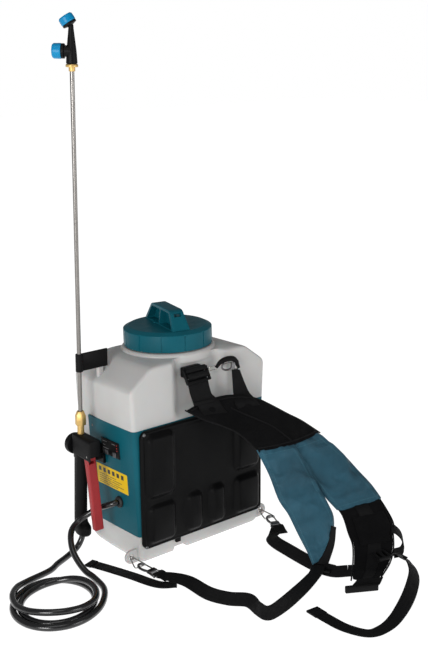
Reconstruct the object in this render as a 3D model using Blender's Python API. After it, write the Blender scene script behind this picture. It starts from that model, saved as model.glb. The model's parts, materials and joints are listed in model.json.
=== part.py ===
"""Cordless backpack sprayer: a tank on a pump housing, with harness, hose and spray wand.

Metres, +Z up. The origin is at floor level under the axis of the filler cap.
+X is the sprayer's width, -Y is the side the wearer leans on, and the wand hangs on the -X wall.
Blender 4.5: blender --background --python part.py
"""

import math

import bmesh
import bpy
from mathutils import Matrix, Vector

GAP = 0.0003

# Tank: half-width and depth grow with height, as a moulded part's draft does.
HALF_WIDTH = 0.1514
FRONT = 0.0919
REAR = 0.1100
SIDE_DRAFT = 0.042
FRONT_DRAFT = 0.026
WALL = 0.003
SHOULDER_Z = 0.348
TOP_Z = 0.385
TOP_HALF_WIDTH = 0.118
BAY_BOTTOM = 0.0547
BAY_TOP = 0.2704
BAY_REAR = 0.0
HOUSING_REAR = 0.052
RECESS_HALF = 0.066
RECESS_DEPTH = 0.014

# Filler neck and cap
NECK_RADIUS = 0.078
NECK_BORE = 0.070
NECK_TOP = 0.4095
CAP_RADIUS = 0.0876
CAP_BOTTOM = 0.3967
CAP_SKIRT_TOP = 0.4290
CAP_TOP = 0.4345
HANDLE_TOP = 0.470
HANDLE_YAW = math.radians(-14.3)

# Wand: it stands beside the -X wall, leaning 3.27 degrees towards the wearer.
WAND_FOOT = Vector((-0.2025, 0.0319, 0.0))
WAND_LEAN = math.radians(3.27)
LANCE_RADIUS = 0.004
LANCE_START = 0.271
LANCE_END = 0.9335
HEAD_BOTTOM = 0.207
HEAD_TOP = 0.250
LEVER_PIVOT = Vector((0.0, -0.036, 0.216))
NOZZLE_Z = 0.961
NOZZLE_YAW = math.radians(136.0)
NOZZLE_TILT = math.radians(33.0)

# Hose
HOSE_RADIUS = 0.006
COIL_CENTRE = Vector((-0.358, -0.122, 0.0))
COIL_OUTER = 0.085
COIL_INNER = 0.050
COIL_STRETCH = 1.16
COIL_HEIGHT = 0.0235

# Control panel on the -X wall
PANEL_Y = -0.0205
BUTTON_SPACING = 0.026

# Strap lugs
LUG_X = 0.166
LUG_Y = -0.078
LUG_Z = 0.015

# Battery door in the +X wall
DOOR_Y = (-0.072, 0.030)
DOOR_Z = (0.088, 0.236)

# Straps
WEB_THICK = 0.0022
LOWER_WEB = 0.025
LOWER_HOOK_SCALE = 1.35
PAD_THICK = 0.014
COVER_WALL = 0.002
YOKE_THICK = 0.012

# Edges of the soft pieces, from their upper ends down. Left and right are as the sprayer faces -Y.
YOKE_LEFT = [
    (-0.054, -0.117, 0.294),
    (-0.028, -0.139, 0.275),
    (0.000, -0.157, 0.261),
    (0.025, -0.180, 0.244),
    (0.041, -0.208, 0.224),
]
YOKE_MIDDLE = [
    (0.045, -0.128, 0.289),
    (0.060, -0.148, 0.274),
    (0.080, -0.168, 0.257),
    (0.103, -0.188, 0.239),
    (0.124, -0.214, 0.222),
]
YOKE_RIGHT = [
    (0.110, -0.150, 0.286),
    (0.133, -0.164, 0.270),
    (0.156, -0.179, 0.253),
    (0.183, -0.190, 0.235),
    (0.206, -0.200, 0.218),
]
NEAR_PAD_LEFT = [
    (0.0410, -0.2140, 0.2160),
    (0.0500, -0.2380, 0.1710),
    (0.0520, -0.2620, 0.1270),
    (0.0600, -0.2800, 0.1000),
    (0.0645, -0.3020, 0.0650),
    (0.0680, -0.3220, 0.0360),
    (0.0670, -0.3380, 0.0150),
]
NEAR_PAD_RIGHT = [
    (0.1215, -0.2240, 0.2120),
    (0.1310, -0.2500, 0.1770),
    (0.1350, -0.2810, 0.1390),
    (0.1360, -0.3090, 0.1070),
    (0.1330, -0.3260, 0.0850),
    (0.1180, -0.3360, 0.0560),
    (0.0830, -0.3415, 0.0190),
]
FAR_PAD_LEFT = [
    (0.1265, -0.2260, 0.2140),
    (0.1370, -0.2520, 0.1780),
    (0.1415, -0.2790, 0.1390),
    (0.1445, -0.3020, 0.1130),
    (0.1510, -0.3270, 0.0880),
    (0.1390, -0.3560, 0.0620),
    (0.1300, -0.3760, 0.0460),
    (0.1010, -0.4040, 0.0260),
    (0.0700, -0.4300, 0.0160),
]
FAR_PAD_RIGHT = [
    (0.2040, -0.2100, 0.2110),
    (0.2280, -0.2550, 0.1730),
    (0.2325, -0.2960, 0.1460),
    (0.2325, -0.3390, 0.1210),
    (0.2210, -0.3990, 0.0800),
    (0.2070, -0.4140, 0.0620),
    (0.1880, -0.4320, 0.0440),
    (0.1600, -0.4480, 0.0280),
    (0.1190, -0.4620, 0.0170),
]

MATERIALS = {
    "tank_plastic": ((0.50, 0.49, 0.47), 0.45, 0.0),
    "teal_plastic": ((0.012, 0.085, 0.115), 0.45, 0.0),
    "black_plastic": ((0.012, 0.012, 0.013), 0.45, 0.0),
    "grip_plastic": ((0.015, 0.015, 0.016), 0.55, 0.0),
    "red_plastic": ((0.42, 0.025, 0.035), 0.4, 0.0),
    "blue_plastic": ((0.0, 0.19, 0.55), 0.4, 0.0),
    "grey_plastic": ((0.08, 0.08, 0.085), 0.5, 0.0),
    "rubber": ((0.01, 0.01, 0.01), 0.6, 0.0),
    "hose_rubber": ((0.006, 0.006, 0.007), 0.25, 0.0),
    "pad_foam": ((0.014, 0.014, 0.015), 0.6, 0.0),
    "pad_fabric": ((0.012, 0.012, 0.013), 0.9, 0.0),
    "cover_fabric": ((0.02, 0.14, 0.20), 0.85, 0.0),
    "webbing": ((0.012, 0.012, 0.013), 0.85, 0.0),
    "brass": ((0.75, 0.52, 0.20), 0.3, 1.0),
    "steel": ((0.55, 0.54, 0.52), 0.3, 1.0),
    "dark_steel": ((0.12, 0.12, 0.12), 0.35, 1.0),
    "circuit_board": ((0.02, 0.12, 0.05), 0.5, 0.0),
}


# ---------------------------------------------------------------- helpers


def clear_scene():
    for obj in list(bpy.data.objects):
        bpy.data.objects.remove(obj, do_unlink=True)


def material(name):
    found = bpy.data.materials.get(name)
    if found:
        return found
    colour, roughness, metallic = MATERIALS[name]
    found = bpy.data.materials.new(name)
    found.use_nodes = True
    shader = found.node_tree.nodes["Principled BSDF"]
    shader.inputs["Base Color"].default_value = (*colour, 1.0)
    shader.inputs["Roughness"].default_value = roughness
    shader.inputs["Metallic"].default_value = metallic
    found.diffuse_color = (*colour, 1.0)
    return found


def mesh_object(name, bm, finish, parent=None):
    """Makes an object of a bmesh, with its faces pointing out."""
    bmesh.ops.recalc_face_normals(bm, faces=bm.faces)
    mesh = bpy.data.meshes.new(name)
    bm.to_mesh(mesh)
    bm.free()
    mesh.shade_smooth()
    mesh.set_sharp_from_angle(angle=math.radians(32))
    obj = bpy.data.objects.new(name, mesh)
    bpy.context.scene.collection.objects.link(obj)
    if finish:
        mesh.materials.append(material(finish))
    obj.parent = parent
    return obj


def frame(name, location, rotation=None, parent=None):
    """An empty that other pieces hang on."""
    empty = bpy.data.objects.new(name, None)
    bpy.context.scene.collection.objects.link(empty)
    empty.empty_display_size = 0.02
    empty.matrix_local = Matrix.Translation(location) @ (rotation or Matrix()).to_4x4()
    empty.parent = parent
    return empty


def bevelled(obj, width, segments=1):
    modifier = obj.modifiers.new("Bevel", "BEVEL")
    modifier.width = width
    modifier.segments = segments
    modifier.limit_method = "ANGLE"
    modifier.angle_limit = math.radians(40)
    return obj


def boolean(obj, other, operation):
    """Joins or cuts obj with other, which becomes a hidden helper."""
    other.hide_render = True
    other.display_type = "WIRE"
    modifier = obj.modifiers.new(operation.title(), "BOOLEAN")
    modifier.operation = operation
    modifier.solver = "EXACT"
    modifier.object = other
    return obj


def cut(obj, *cutters):
    for cutter in cutters:
        boolean(obj, cutter, "DIFFERENCE")
    return obj


def join(obj, *others):
    for other in others:
        boolean(obj, other, "UNION")
    return obj


def loft(name, rings, finish=None, parent=None):
    """A closed solid through rings of equally many points, with flat ends."""
    bm = bmesh.new()
    loops = [[bm.verts.new(point) for point in ring] for ring in rings]
    count = len(rings[0])
    for low, high in zip(loops, loops[1:]):
        for i in range(count):
            bm.faces.new((low[i], low[(i + 1) % count], high[(i + 1) % count], high[i]))
    bm.faces.new(loops[0])
    bm.faces.new(loops[-1])
    return mesh_object(name, bm, finish, parent)


def box(name, low, high, finish=None, parent=None):
    corners = [(low[0], low[1]), (high[0], low[1]), (high[0], high[1]), (low[0], high[1])]
    return loft(name, [[(x, y, z) for x, y in corners] for z in (low[2], high[2])], finish, parent)


def turned(name, profile, steps, finish=None, parent=None, place=None):
    """Turns a profile of (radius, height) about Z. A profile that leaves the axis is closed into a ring."""
    bm = bmesh.new()
    rings = []
    for radius, height in profile:
        if radius == 0:
            rings.append([bm.verts.new((0, 0, height))])
            continue
        angles = [2 * math.pi * i / steps for i in range(steps)]
        rings.append([bm.verts.new((radius * math.cos(a), radius * math.sin(a), height)) for a in angles])
    pairs = list(zip(rings, rings[1:]))
    if profile[0][0] != 0:
        pairs.append((rings[-1], rings[0]))
    for low, high in pairs:
        for i in range(steps):
            j = (i + 1) % steps
            corners = [low[i % len(low)], low[j % len(low)], high[j % len(high)], high[i % len(high)]]
            bm.faces.new(list(dict.fromkeys(corners)))
    if place:
        bmesh.ops.transform(bm, matrix=place, verts=bm.verts)
    return mesh_object(name, bm, finish, parent)


def rod(name, start, end, radius, steps, finish=None, parent=None):
    """A plain round bar between two points."""
    start = Vector(start)
    along = Vector(end) - start
    place = Matrix.Translation(start) @ along.to_track_quat("Z", "Y").to_matrix().to_4x4()
    profile = [(0, 0), (radius, 0), (radius, along.length), (0, along.length)]
    return turned(name, profile, steps, finish, parent, place)


def smooth_path(points, count):
    """Points evenly spread along a Catmull-Rom curve through the given ones."""
    points = [Vector(p) for p in points]
    padded = [2 * points[0] - points[1], *points, 2 * points[-1] - points[-2]]
    fine = []
    for a, b, c, d in zip(padded, padded[1:], padded[2:], padded[3:]):
        for step in range(24):
            t = step / 24
            bend = 2 * a - 5 * b + 4 * c - d
            twist = 3 * b - a - 3 * c + d
            fine.append(0.5 * (2 * b + (c - a) * t + bend * t**2 + twist * t**3))
    fine.append(points[-1])
    lengths = [0.0]
    for a, b in zip(fine, fine[1:]):
        lengths.append(lengths[-1] + (b - a).length)
    result = []
    k = 0
    for i in range(count):
        target = lengths[-1] * i / (count - 1)
        while k < len(fine) - 2 and lengths[k + 1] < target:
            k += 1
        part = (target - lengths[k]) / max(lengths[k + 1] - lengths[k], 1e-9)
        result.append(fine[k].lerp(fine[k + 1], part))
    return result


def tangents(points):
    ends = zip([points[0], *points[:-1]], [*points[1:], points[-1]])
    return [(after - before).normalized() for before, after in ends]


def bar_along(name, points, radius, sides, finish=None, parent=None):
    """A bent round bar as a mesh, its rings carried along the path without twist."""
    points = [Vector(p) for p in points]
    across = None
    rings = []
    for point, along in zip(points, tangents(points)):
        across = along.orthogonal() if across is None else across - along * across.dot(along)
        across.normalize()
        other = along.cross(across)
        angles = [2 * math.pi * i / sides for i in range(sides)]
        rings.append([point + radius * (math.cos(a) * across + math.sin(a) * other) for a in angles])
    return loft(name, rings, finish, parent)


def band_rings(points, across, widths, thick):
    """Four-cornered rings of a flat band. across holds its width direction at each point."""
    rings = []
    for point, along, side, width in zip(points, tangents(points), across, widths):
        side = (side - along * side.dot(along)).normalized() * width / 2
        up = along.cross(side).normalized() * thick / 2
        rings.append([point - side - up, point + side - up, point + side + up, point - side + up])
    return rings


def spread(values, count):
    """Numbers blended evenly over a number of points."""
    result = []
    for i in range(count):
        place = i * (len(values) - 1) / (count - 1)
        k = min(int(place), len(values) - 2)
        part = place - k
        result.append(values[k] * (1 - part) + values[k + 1] * part)
    return result


def arc(centre, radius, start, end, steps):
    """Points of an arc in plan, both ends included. Angles are in degrees."""
    angles = [math.radians(start + (end - start) * i / steps) for i in range(steps + 1)]
    return [(centre[0] + radius * math.cos(a), centre[1] + radius * math.sin(a)) for a in angles]


# ---------------------------------------------------------------- tank


def half_width(z):
    return HALF_WIDTH + SIDE_DRAFT * min(z, SHOULDER_Z)


def front(z):
    return FRONT + FRONT_DRAFT * min(z, SHOULDER_Z)


def tank_outline(width, fore, rear, pinch, rear_radius, recess, inset=0.0):
    """Plan of the tank: small front corners, sides that draw in behind the cap, round rear corners."""
    width -= inset
    fore -= inset
    rear -= inset
    corner = 0.008
    centre = (width - pinch - rear_radius, rear - rear_radius)
    right = arc((width - corner, -fore + corner), corner, -90, 0, 3)
    right += [(width, BAY_REAR)] + arc(centre, rear_radius, 0, 90, 5)
    left = [(-x, y) for x, y in reversed(right)]
    half = RECESS_HALF + inset
    middle = [(-half, -fore), (-half + 0.016, -fore + recess), (half - 0.016, -fore + recess), (half, -fore)]
    return right + left + middle


def tank_body(name, inset, floor, finish=None):
    """The tank's outer form, or its inner one at an inset."""
    top = SHOULDER_Z
    levels = [
        (floor, half_width(0) - 0.004, front(0) - 0.004, REAR - 0.022, 0.006, 0.020, 0.0),
        (floor + 0.007, half_width(0), front(0), REAR - 0.012, 0.007, 0.024, 0.0),
        (0.040, half_width(0.04), front(0.04), REAR - 0.004, 0.007, 0.026, 0.0),
        (BAY_TOP, half_width(BAY_TOP), front(BAY_TOP), REAR + 0.004, 0.007, 0.026, 0.0),
        (0.292, half_width(0.292), front(0.292), REAR + 0.004, 0.007, 0.026, RECESS_DEPTH),
        (top - inset, half_width(top), front(top), REAR + 0.005, 0.007, 0.030, RECESS_DEPTH),
        (TOP_Z - inset, TOP_HALF_WIDTH, front(top) - 0.001, 0.083, 0.004, 0.034, RECESS_DEPTH),
        (TOP_Z + 0.0035 - inset, TOP_HALF_WIDTH - 0.022, 0.090, 0.072, 0.004, 0.034, 0.004),
    ]
    rings = []
    for z, *plan in levels:
        rings.append([(x, y, z) for x, y in tank_outline(*plan, inset=inset)])
    return loft(name, rings, finish)


def bay_cutters(grow, tag):
    """The space of the pump bay, and the shallow rebates in which the housing's legs lie."""
    low = BAY_BOTTOM - GAP - grow
    high = BAY_TOP + GAP + grow
    cutters = [box(f"cutter_bay_{tag}", (-0.3, -0.3, low), (0.3, BAY_REAR + grow, high))]
    for side in (-1, 1):
        inner = side * (0.150 - grow)
        span = sorted((inner, side * 0.3))
        cutters.append(
            box(
                f"cutter_rebate_{tag}_{'right' if side > 0 else 'left'}",
                (span[0], -0.3, low),
                (span[1], HOUSING_REAR + GAP + grow, high),
            )
        )
    return cutters


def make_tank():
    tank = tank_body("tank", 0.0, 0.0, "tank_plastic")
    cut(tank, *bay_cutters(0.0, "outer"))
    cut(tank, box("cutter_foot_gap", (-0.071, -0.3, -0.01), (-0.036, 0.3, 0.011)))
    ring = [(0.0, 0.375), (0.0945, 0.375), (0.0935, 0.3905), (0.0890, 0.3945), (NECK_RADIUS, 0.3945)]
    ring += [(NECK_RADIUS, NECK_TOP), (0.0, NECK_TOP)]
    join(tank, turned("union_neck", ring, 40))
    cavity = tank_body("cutter_cavity", WALL, 0.004)
    cut(cavity, *bay_cutters(WALL, "inner"))
    cut(cavity, box("cutter_keep_gap_roof", (-0.075, -0.3, 0.0), (-0.032, 0.3, 0.014)))
    cut(tank, cavity, rod("cutter_neck_bore", (0, 0, 0.36), (0, 0, 0.45), NECK_BORE, 36))
    add_lugs(tank)
    # The post that the lance holder is screwed to
    join(tank, bevelled(box("union_post", (-0.1575, 0.0136, 0.345), (-0.1455, 0.0225, 0.3925)), 0.002))


def add_lugs(tank):
    """Strap lugs low on both sides, each with a hole for a wire ring."""
    for side in (-1, 1):
        tag = "right" if side > 0 else "left"
        middle = Matrix.Translation((side * LUG_X, LUG_Y + 0.003, LUG_Z))
        place = middle @ Matrix.Rotation(math.pi / 2, 4, "X")
        profile = [(0, 0), (0.0135, 0), (0.0135, 0.006), (0, 0.006)]
        join(tank, turned(f"union_lug_round_{tag}", profile, 20, place=place))
        span = sorted((side * 0.146, side * LUG_X))
        join(
            tank,
            box(f"union_lug_web_{tag}", (span[0], LUG_Y - 0.003, 0.0015), (span[1], LUG_Y + 0.003, 0.0285)),
        )
        hole = rod(
            f"cutter_lug_hole_{tag}",
            (side * LUG_X, LUG_Y - 0.01, LUG_Z),
            (side * LUG_X, LUG_Y + 0.01, LUG_Z),
            0.006,
            16,
        )
        cut(tank, hole)


def make_filler():
    """Strainer basket, gasket and the screw cap with its bridge handle."""
    basket = [(0.0, 0.3266), (0.0614, 0.3266), (0.0672, 0.4112), (0.0765, 0.4112)]
    basket += [(0.0765, 0.4098), (0.0690, 0.4098), (0.0630, 0.3250), (0.0, 0.3250)]
    strainer = turned("strainer_basket", basket, 32, "black_plastic")
    for i in range(4):
        slot = box(f"cutter_strainer_{i}", (-0.08, -0.008, 0.336), (0.08, 0.008, 0.392))
        slot.rotation_euler.z = math.pi * i / 4
        cut(strainer, slot)
    gasket = [(0.0700, 0.4115), (0.0775, 0.4115), (0.0775, 0.4141), (0.0700, 0.4141)]
    turned("cap_gasket", gasket, 40, "rubber")

    profile = [
        (0.0, 0.4312),
        (0.0680, 0.4312),
        (0.0680, 0.4145),
        (0.0800, 0.4145),
        (0.0800, CAP_BOTTOM + 0.003),
        (0.0825, CAP_BOTTOM),
        (CAP_RADIUS, CAP_BOTTOM),
        (CAP_RADIUS, CAP_SKIRT_TOP),
        (0.0765, CAP_TOP),
        (0.0, CAP_TOP),
    ]
    cap = turned("tank_cap", profile, 36, "teal_plastic")
    rib_frame = bmesh.new()
    for i in range(12):
        angle = 2 * math.pi * (i + 0.5) / 12
        middle = (CAP_BOTTOM + CAP_SKIRT_TOP) / 2
        place = Matrix.Rotation(angle, 4, "Z") @ Matrix.Translation((CAP_RADIUS, 0, middle))
        made = bmesh.ops.create_cube(rib_frame, size=1.0)["verts"]
        bmesh.ops.scale(rib_frame, vec=(0.0016, 0.0022, 0.0400), verts=made)
        bmesh.ops.transform(rib_frame, matrix=place, verts=made)
    cut(cap, mesh_object("cutter_grip_grooves", rib_frame, None))
    join(cap, make_handle())
    join(cap, rod("union_nub_a", (-0.005, 0.042, 0.433), (-0.005, 0.042, 0.4362), 0.003, 10))
    join(cap, rod("union_nub_b", (-0.014, 0.022, 0.433), (-0.014, 0.022, 0.4362), 0.003, 10))


def make_handle():
    """Bridge handle of the cap: a bar on two flared legs, closed by a web with a rib across its middle."""
    outline = [(-0.072, 0.4330), (-0.047, HANDLE_TOP), (0.047, HANDLE_TOP), (0.072, 0.4330)]
    rings = []
    for side in (-1, 1):
        rings.append([(side * (0.0185 if z < CAP_TOP else 0.0140), y, z) for y, z in outline])
    handle = loft("union_handle", rings)
    bevelled(handle, 0.002)
    for side, tag in ((-1, "left"), (1, "right")):
        for end, facing in (("near", -1), ("far", 1)):
            side_view = [(0.0016, 0.4355), (0.062, 0.4355), (0.041, 0.4645), (0.0016, 0.4645)]
            pocket = [[(side * x, facing * y, z) for y, z in side_view] for x in (0.0016, 0.03)]
            cut(handle, loft(f"cutter_handle_{tag}_{end}", pocket))
    notch = box("cutter_handle_notch", (-0.0075, -0.0600, 0.4580), (0.0075, -0.0440, 0.4645))
    cut(handle, notch)
    for piece in [handle] + [m.object for m in handle.modifiers if m.type == "BOOLEAN"]:
        piece.rotation_euler.z = HANDLE_YAW
    return handle


# ---------------------------------------------------------------- pump housing and what it holds


def housing_ring(z, inset):
    """Plan of the U-shaped housing: its outer line, then its inner line back again."""
    width = half_width(z)
    fore = front(z)
    corner = 0.008
    outer = [(width, HOUSING_REAR)]
    outer += reversed(arc((width - corner, -fore + corner), corner, -90, 0, 4))
    outer += reversed(arc((-width + corner, -fore + corner), corner, -180, -90, 4))
    outer += [(-width, HOUSING_REAR)]
    corner -= inset
    width -= inset
    fore -= inset
    inner = [(-width, HOUSING_REAR)]
    inner += arc((-width + corner, -fore + corner), corner, -180, -90, 4)
    inner += arc((width - corner, -fore + corner), corner, -90, 0, 4)
    inner += [(width, HOUSING_REAR)]
    return [(x, y, z) for x, y in outer + inner]


def wall_frame(side):
    """A frame on the outside of a side wall: Z up the slanting wall and X out of it."""
    tilt = Matrix.Rotation(side * math.atan(SIDE_DRAFT), 3, "Y")
    turn = Matrix.Rotation(0 if side > 0 else math.pi, 3, "Z")
    name = "right_wall" if side > 0 else "left_wall"
    return frame(name, (side * half_width(0.2), 0, 0.2), tilt @ turn)


def make_housing():
    housing = loft("pump_housing", [housing_ring(z, WALL) for z in (BAY_BOTTOM, BAY_TOP)], "teal_plastic")
    cut(housing, box("cutter_door", (0.13, DOOR_Y[0], DOOR_Z[0]), (0.2, DOOR_Y[1], DOOR_Z[1])))
    cut(housing, rod("cutter_grommet_hole", (-0.19, -0.036, 0.1132), (-0.13, -0.036, 0.1132), 0.0082, 16))
    cut(housing, rod("cutter_screw_hole", (-0.19, 0.0396, 0.2515), (-0.13, 0.0396, 0.2515), 0.003, 12))
    for y in (PANEL_Y - BUTTON_SPACING / 2, PANEL_Y + BUTTON_SPACING / 2):
        cut(
            housing,
            box(f"cutter_button_hole_{y:.3f}", (-0.19, y - 0.0065, 0.2025), (-0.14, y + 0.0065, 0.2155)),
        )


def make_panel(wall):
    """Control panel on the -X wall, with two push buttons that go through it."""
    plate = box("control_panel", (GAP, -0.0090, 0.0035), (0.0022, 0.0500, 0.0365), "black_plastic", wall)
    bevelled(plate, 0.0008)
    for name, y in (("power_button", BUTTON_SPACING / 2), ("pressure_button", -BUTTON_SPACING / 2)):
        centre = -PANEL_Y + y
        hole_low = (-0.01, centre - 0.0055, 0.0035)
        cut(plate, box(f"cutter_{name}", hole_low, (0.01, centre + 0.0055, 0.0145), None, wall))
        low = (-0.0050, centre - 0.0050, 0.0040)
        high = (0.0036, centre + 0.0050, 0.0140)
        bevelled(box(name, low, high, "grey_plastic", wall), 0.0007)
    profile = [(0.0062, 0.004), (0.0078, 0.004), (0.0078, -0.0006), (0.0115, -0.0006), (0.0115, -0.0042)]
    profile += [(0.0090, -0.0068), (0.0062, -0.0068)]
    place = Matrix.Translation((-half_width(0.1132), -0.036, 0.1132)) @ Matrix.Rotation(math.pi / 2, 4, "Y")
    turned("hose_grommet", profile, 24, "rubber", None, place)


def make_door(wall):
    """Battery door in the +X wall, hinged along its lower edge, with a sliding latch at its top."""
    low = DOOR_Z[0] - 0.2 + 0.0022
    high = DOOR_Z[1] - 0.2 - 0.0006
    hinge = frame("door_hinge", (-0.0010, 0, low), None, wall)
    top = high - low
    door = box(
        "battery_door",
        (-0.0018, DOOR_Y[0] + 0.0006, 0.0),
        (0.0016, DOOR_Y[1] - 0.0006, top),
        "teal_plastic",
        hinge,
    )
    middle = (DOOR_Y[0] + DOOR_Y[1]) / 2
    slot_low = (-0.02, middle - 0.0125, top - 0.034)
    cut(door, box("cutter_latch", slot_low, (0.02, middle + 0.0125, top - 0.012), None, hinge))
    latch = box(
        "door_latch",
        (-0.0010, middle - 0.0115, top - 0.027),
        (0.0032, middle + 0.0115, top - 0.013),
        "black_plastic",
        hinge,
    )
    bevelled(latch, 0.0008)


def make_internals():
    """Pump, motor, battery and controller inside the housing, on the bay's floor."""
    floor = BAY_BOTTOM + 0.0003
    tray = box("pump_tray", (-0.145, -0.086, floor), (0.145, -0.006, floor + 0.004), "grey_plastic")
    for i, x in enumerate((-0.105, -0.060)):
        join(tray, box(f"union_cradle_{i}", (x, -0.075, floor + 0.003), (x + 0.010, -0.018, floor + 0.016)))
    for i, x in enumerate((0.048, 0.114)):
        rail_high = (x + 0.006, -0.010, floor + 0.030)
        join(tray, box(f"union_battery_rail_{i}", (x, -0.066, floor + 0.003), rail_high))
    y = -0.046
    z = floor + 0.0355
    motor = rod("pump_motor", (-0.100, y, z), (-0.045, y, z), 0.019, 20, "steel")
    join(motor, rod("union_motor_boss", (-0.046, y, z), (-0.040, y, z), 0.008, 14))
    head_low = (-0.0395, -0.070, floor + 0.0045)
    head = box("pump_head", head_low, (-0.005, -0.022, floor + 0.062), "black_plastic")
    bevelled(head, 0.003)
    x = -0.022
    for port, y in (("inlet", -0.034), ("outlet", -0.058)):
        join(head, rod(f"union_{port}", (x, y, floor + 0.060), (x, y, floor + 0.074), 0.005, 12))
    suction = [
        (-0.022, -0.034, floor + 0.0745),
        (-0.022, -0.034, 0.165),
        (-0.018, -0.026, 0.185),
        (-0.014, -0.0125, 0.1925),
    ]
    bar_along("suction_tube", smooth_path(suction, 12), 0.005, 10, "grey_plastic")
    outlet = [
        (-0.022, -0.058, floor + 0.0745),
        (-0.024, -0.058, 0.146),
        (-0.045, -0.054, 0.160),
        (-0.085, -0.044, 0.150),
        (-0.115, -0.038, 0.124),
        (-0.1505, -0.036, 0.1132),
    ]
    bar_along("outlet_tube", smooth_path(outlet, 20), 0.005, 10, "grey_plastic")
    pack_low = (0.055, -0.064, floor + 0.0315)
    pack = box("battery_pack", pack_low, (0.140, -0.006, floor + 0.110), "black_plastic")
    bevelled(pack, 0.004)
    seat_low = (0.030, -0.062, floor + 0.036)
    battery_seat = box("battery_terminal", seat_low, (0.0545, -0.010, floor + 0.106), "grey_plastic")
    cut(battery_seat, box("cutter_terminal", (0.046, -0.050, floor + 0.046), (0.06, -0.022, floor + 0.096)))
    board = box("controller_board", (-0.138, -0.055, 0.198), (-0.136, -0.0025, 0.240), "circuit_board")
    chips = [(-0.1362, -0.045, 0.222, 0.012), (-0.1362, -0.020, 0.224, 0.010)]
    for i, (x, y, z, size) in enumerate(chips):
        join(board, box(f"union_chip_{i}", (x - 0.001, y, z), (x + 0.004, y + size, z + size)))


def make_back_pad():
    """Moulded pad on the wearer's side, with a flat rim and raised cushions."""
    z_low = 0.0300
    z_high = 0.2690
    half = 0.150
    lean = math.atan(FRONT_DRAFT)
    pad_frame = frame("back_pad_frame", (0, -front(0.15) - GAP - 0.0006, 0.15), Matrix.Rotation(lean, 3, "X"))
    radius = 0.014
    low = z_low - 0.15
    high = z_high - 0.15
    outline = arc((half - radius, low + radius), radius, -90, 0, 4)
    outline += arc((half - radius, high - radius), radius, 0, 90, 4)
    outline += arc((-half + radius, high - radius), radius, 90, 180, 4)
    outline += arc((-half + radius, low + radius), radius, 180, 270, 4)
    levels = [(0.0, 1.0), (-0.0065, 1.0), (-0.0085, 0.988)]
    rings = [[(x * grow, y, z * grow) for x, z in outline] for y, grow in levels]
    pad = loft("back_pad", rings, "pad_foam", pad_frame)
    cushions = [(-0.142, -0.074, 0.131, 0.262), (0.074, 0.142, 0.131, 0.262)]
    cushions += [(-0.142, -0.074, 0.037, 0.121), (-0.050, -0.008, 0.037, 0.121)]
    cushions += [(0.008, 0.050, 0.037, 0.121), (0.074, 0.142, 0.037, 0.121)]
    for i, (x0, x1, z0, z1) in enumerate(cushions):
        z0 -= 0.15
        z1 -= 0.15
        rings = []
        for y, inset in ((-0.0040, 0.0), (-0.0120, 0.002), (-0.0160, 0.008)):
            rings.append(
                [
                    (x0 + inset, y, z0 + inset),
                    (x1 - inset, y, z0 + inset),
                    (x1 - inset, y, z1 - inset),
                    (x0 + inset, y, z1 - inset),
                ]
            )
        join(pad, loft(f"union_cushion_{i}", rings, None, pad_frame))
    join(pad, box("union_tab", (-0.072, -0.0065, low - 0.008), (-0.060, -0.001, low + 0.01), None, pad_frame))


# ---------------------------------------------------------------- wand


def lever_section(half_x, y_low, y_high, z):
    return [(-half_x, y_low, z), (half_x, y_low, z), (half_x, y_high, z), (-half_x, y_high, z)]


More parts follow.
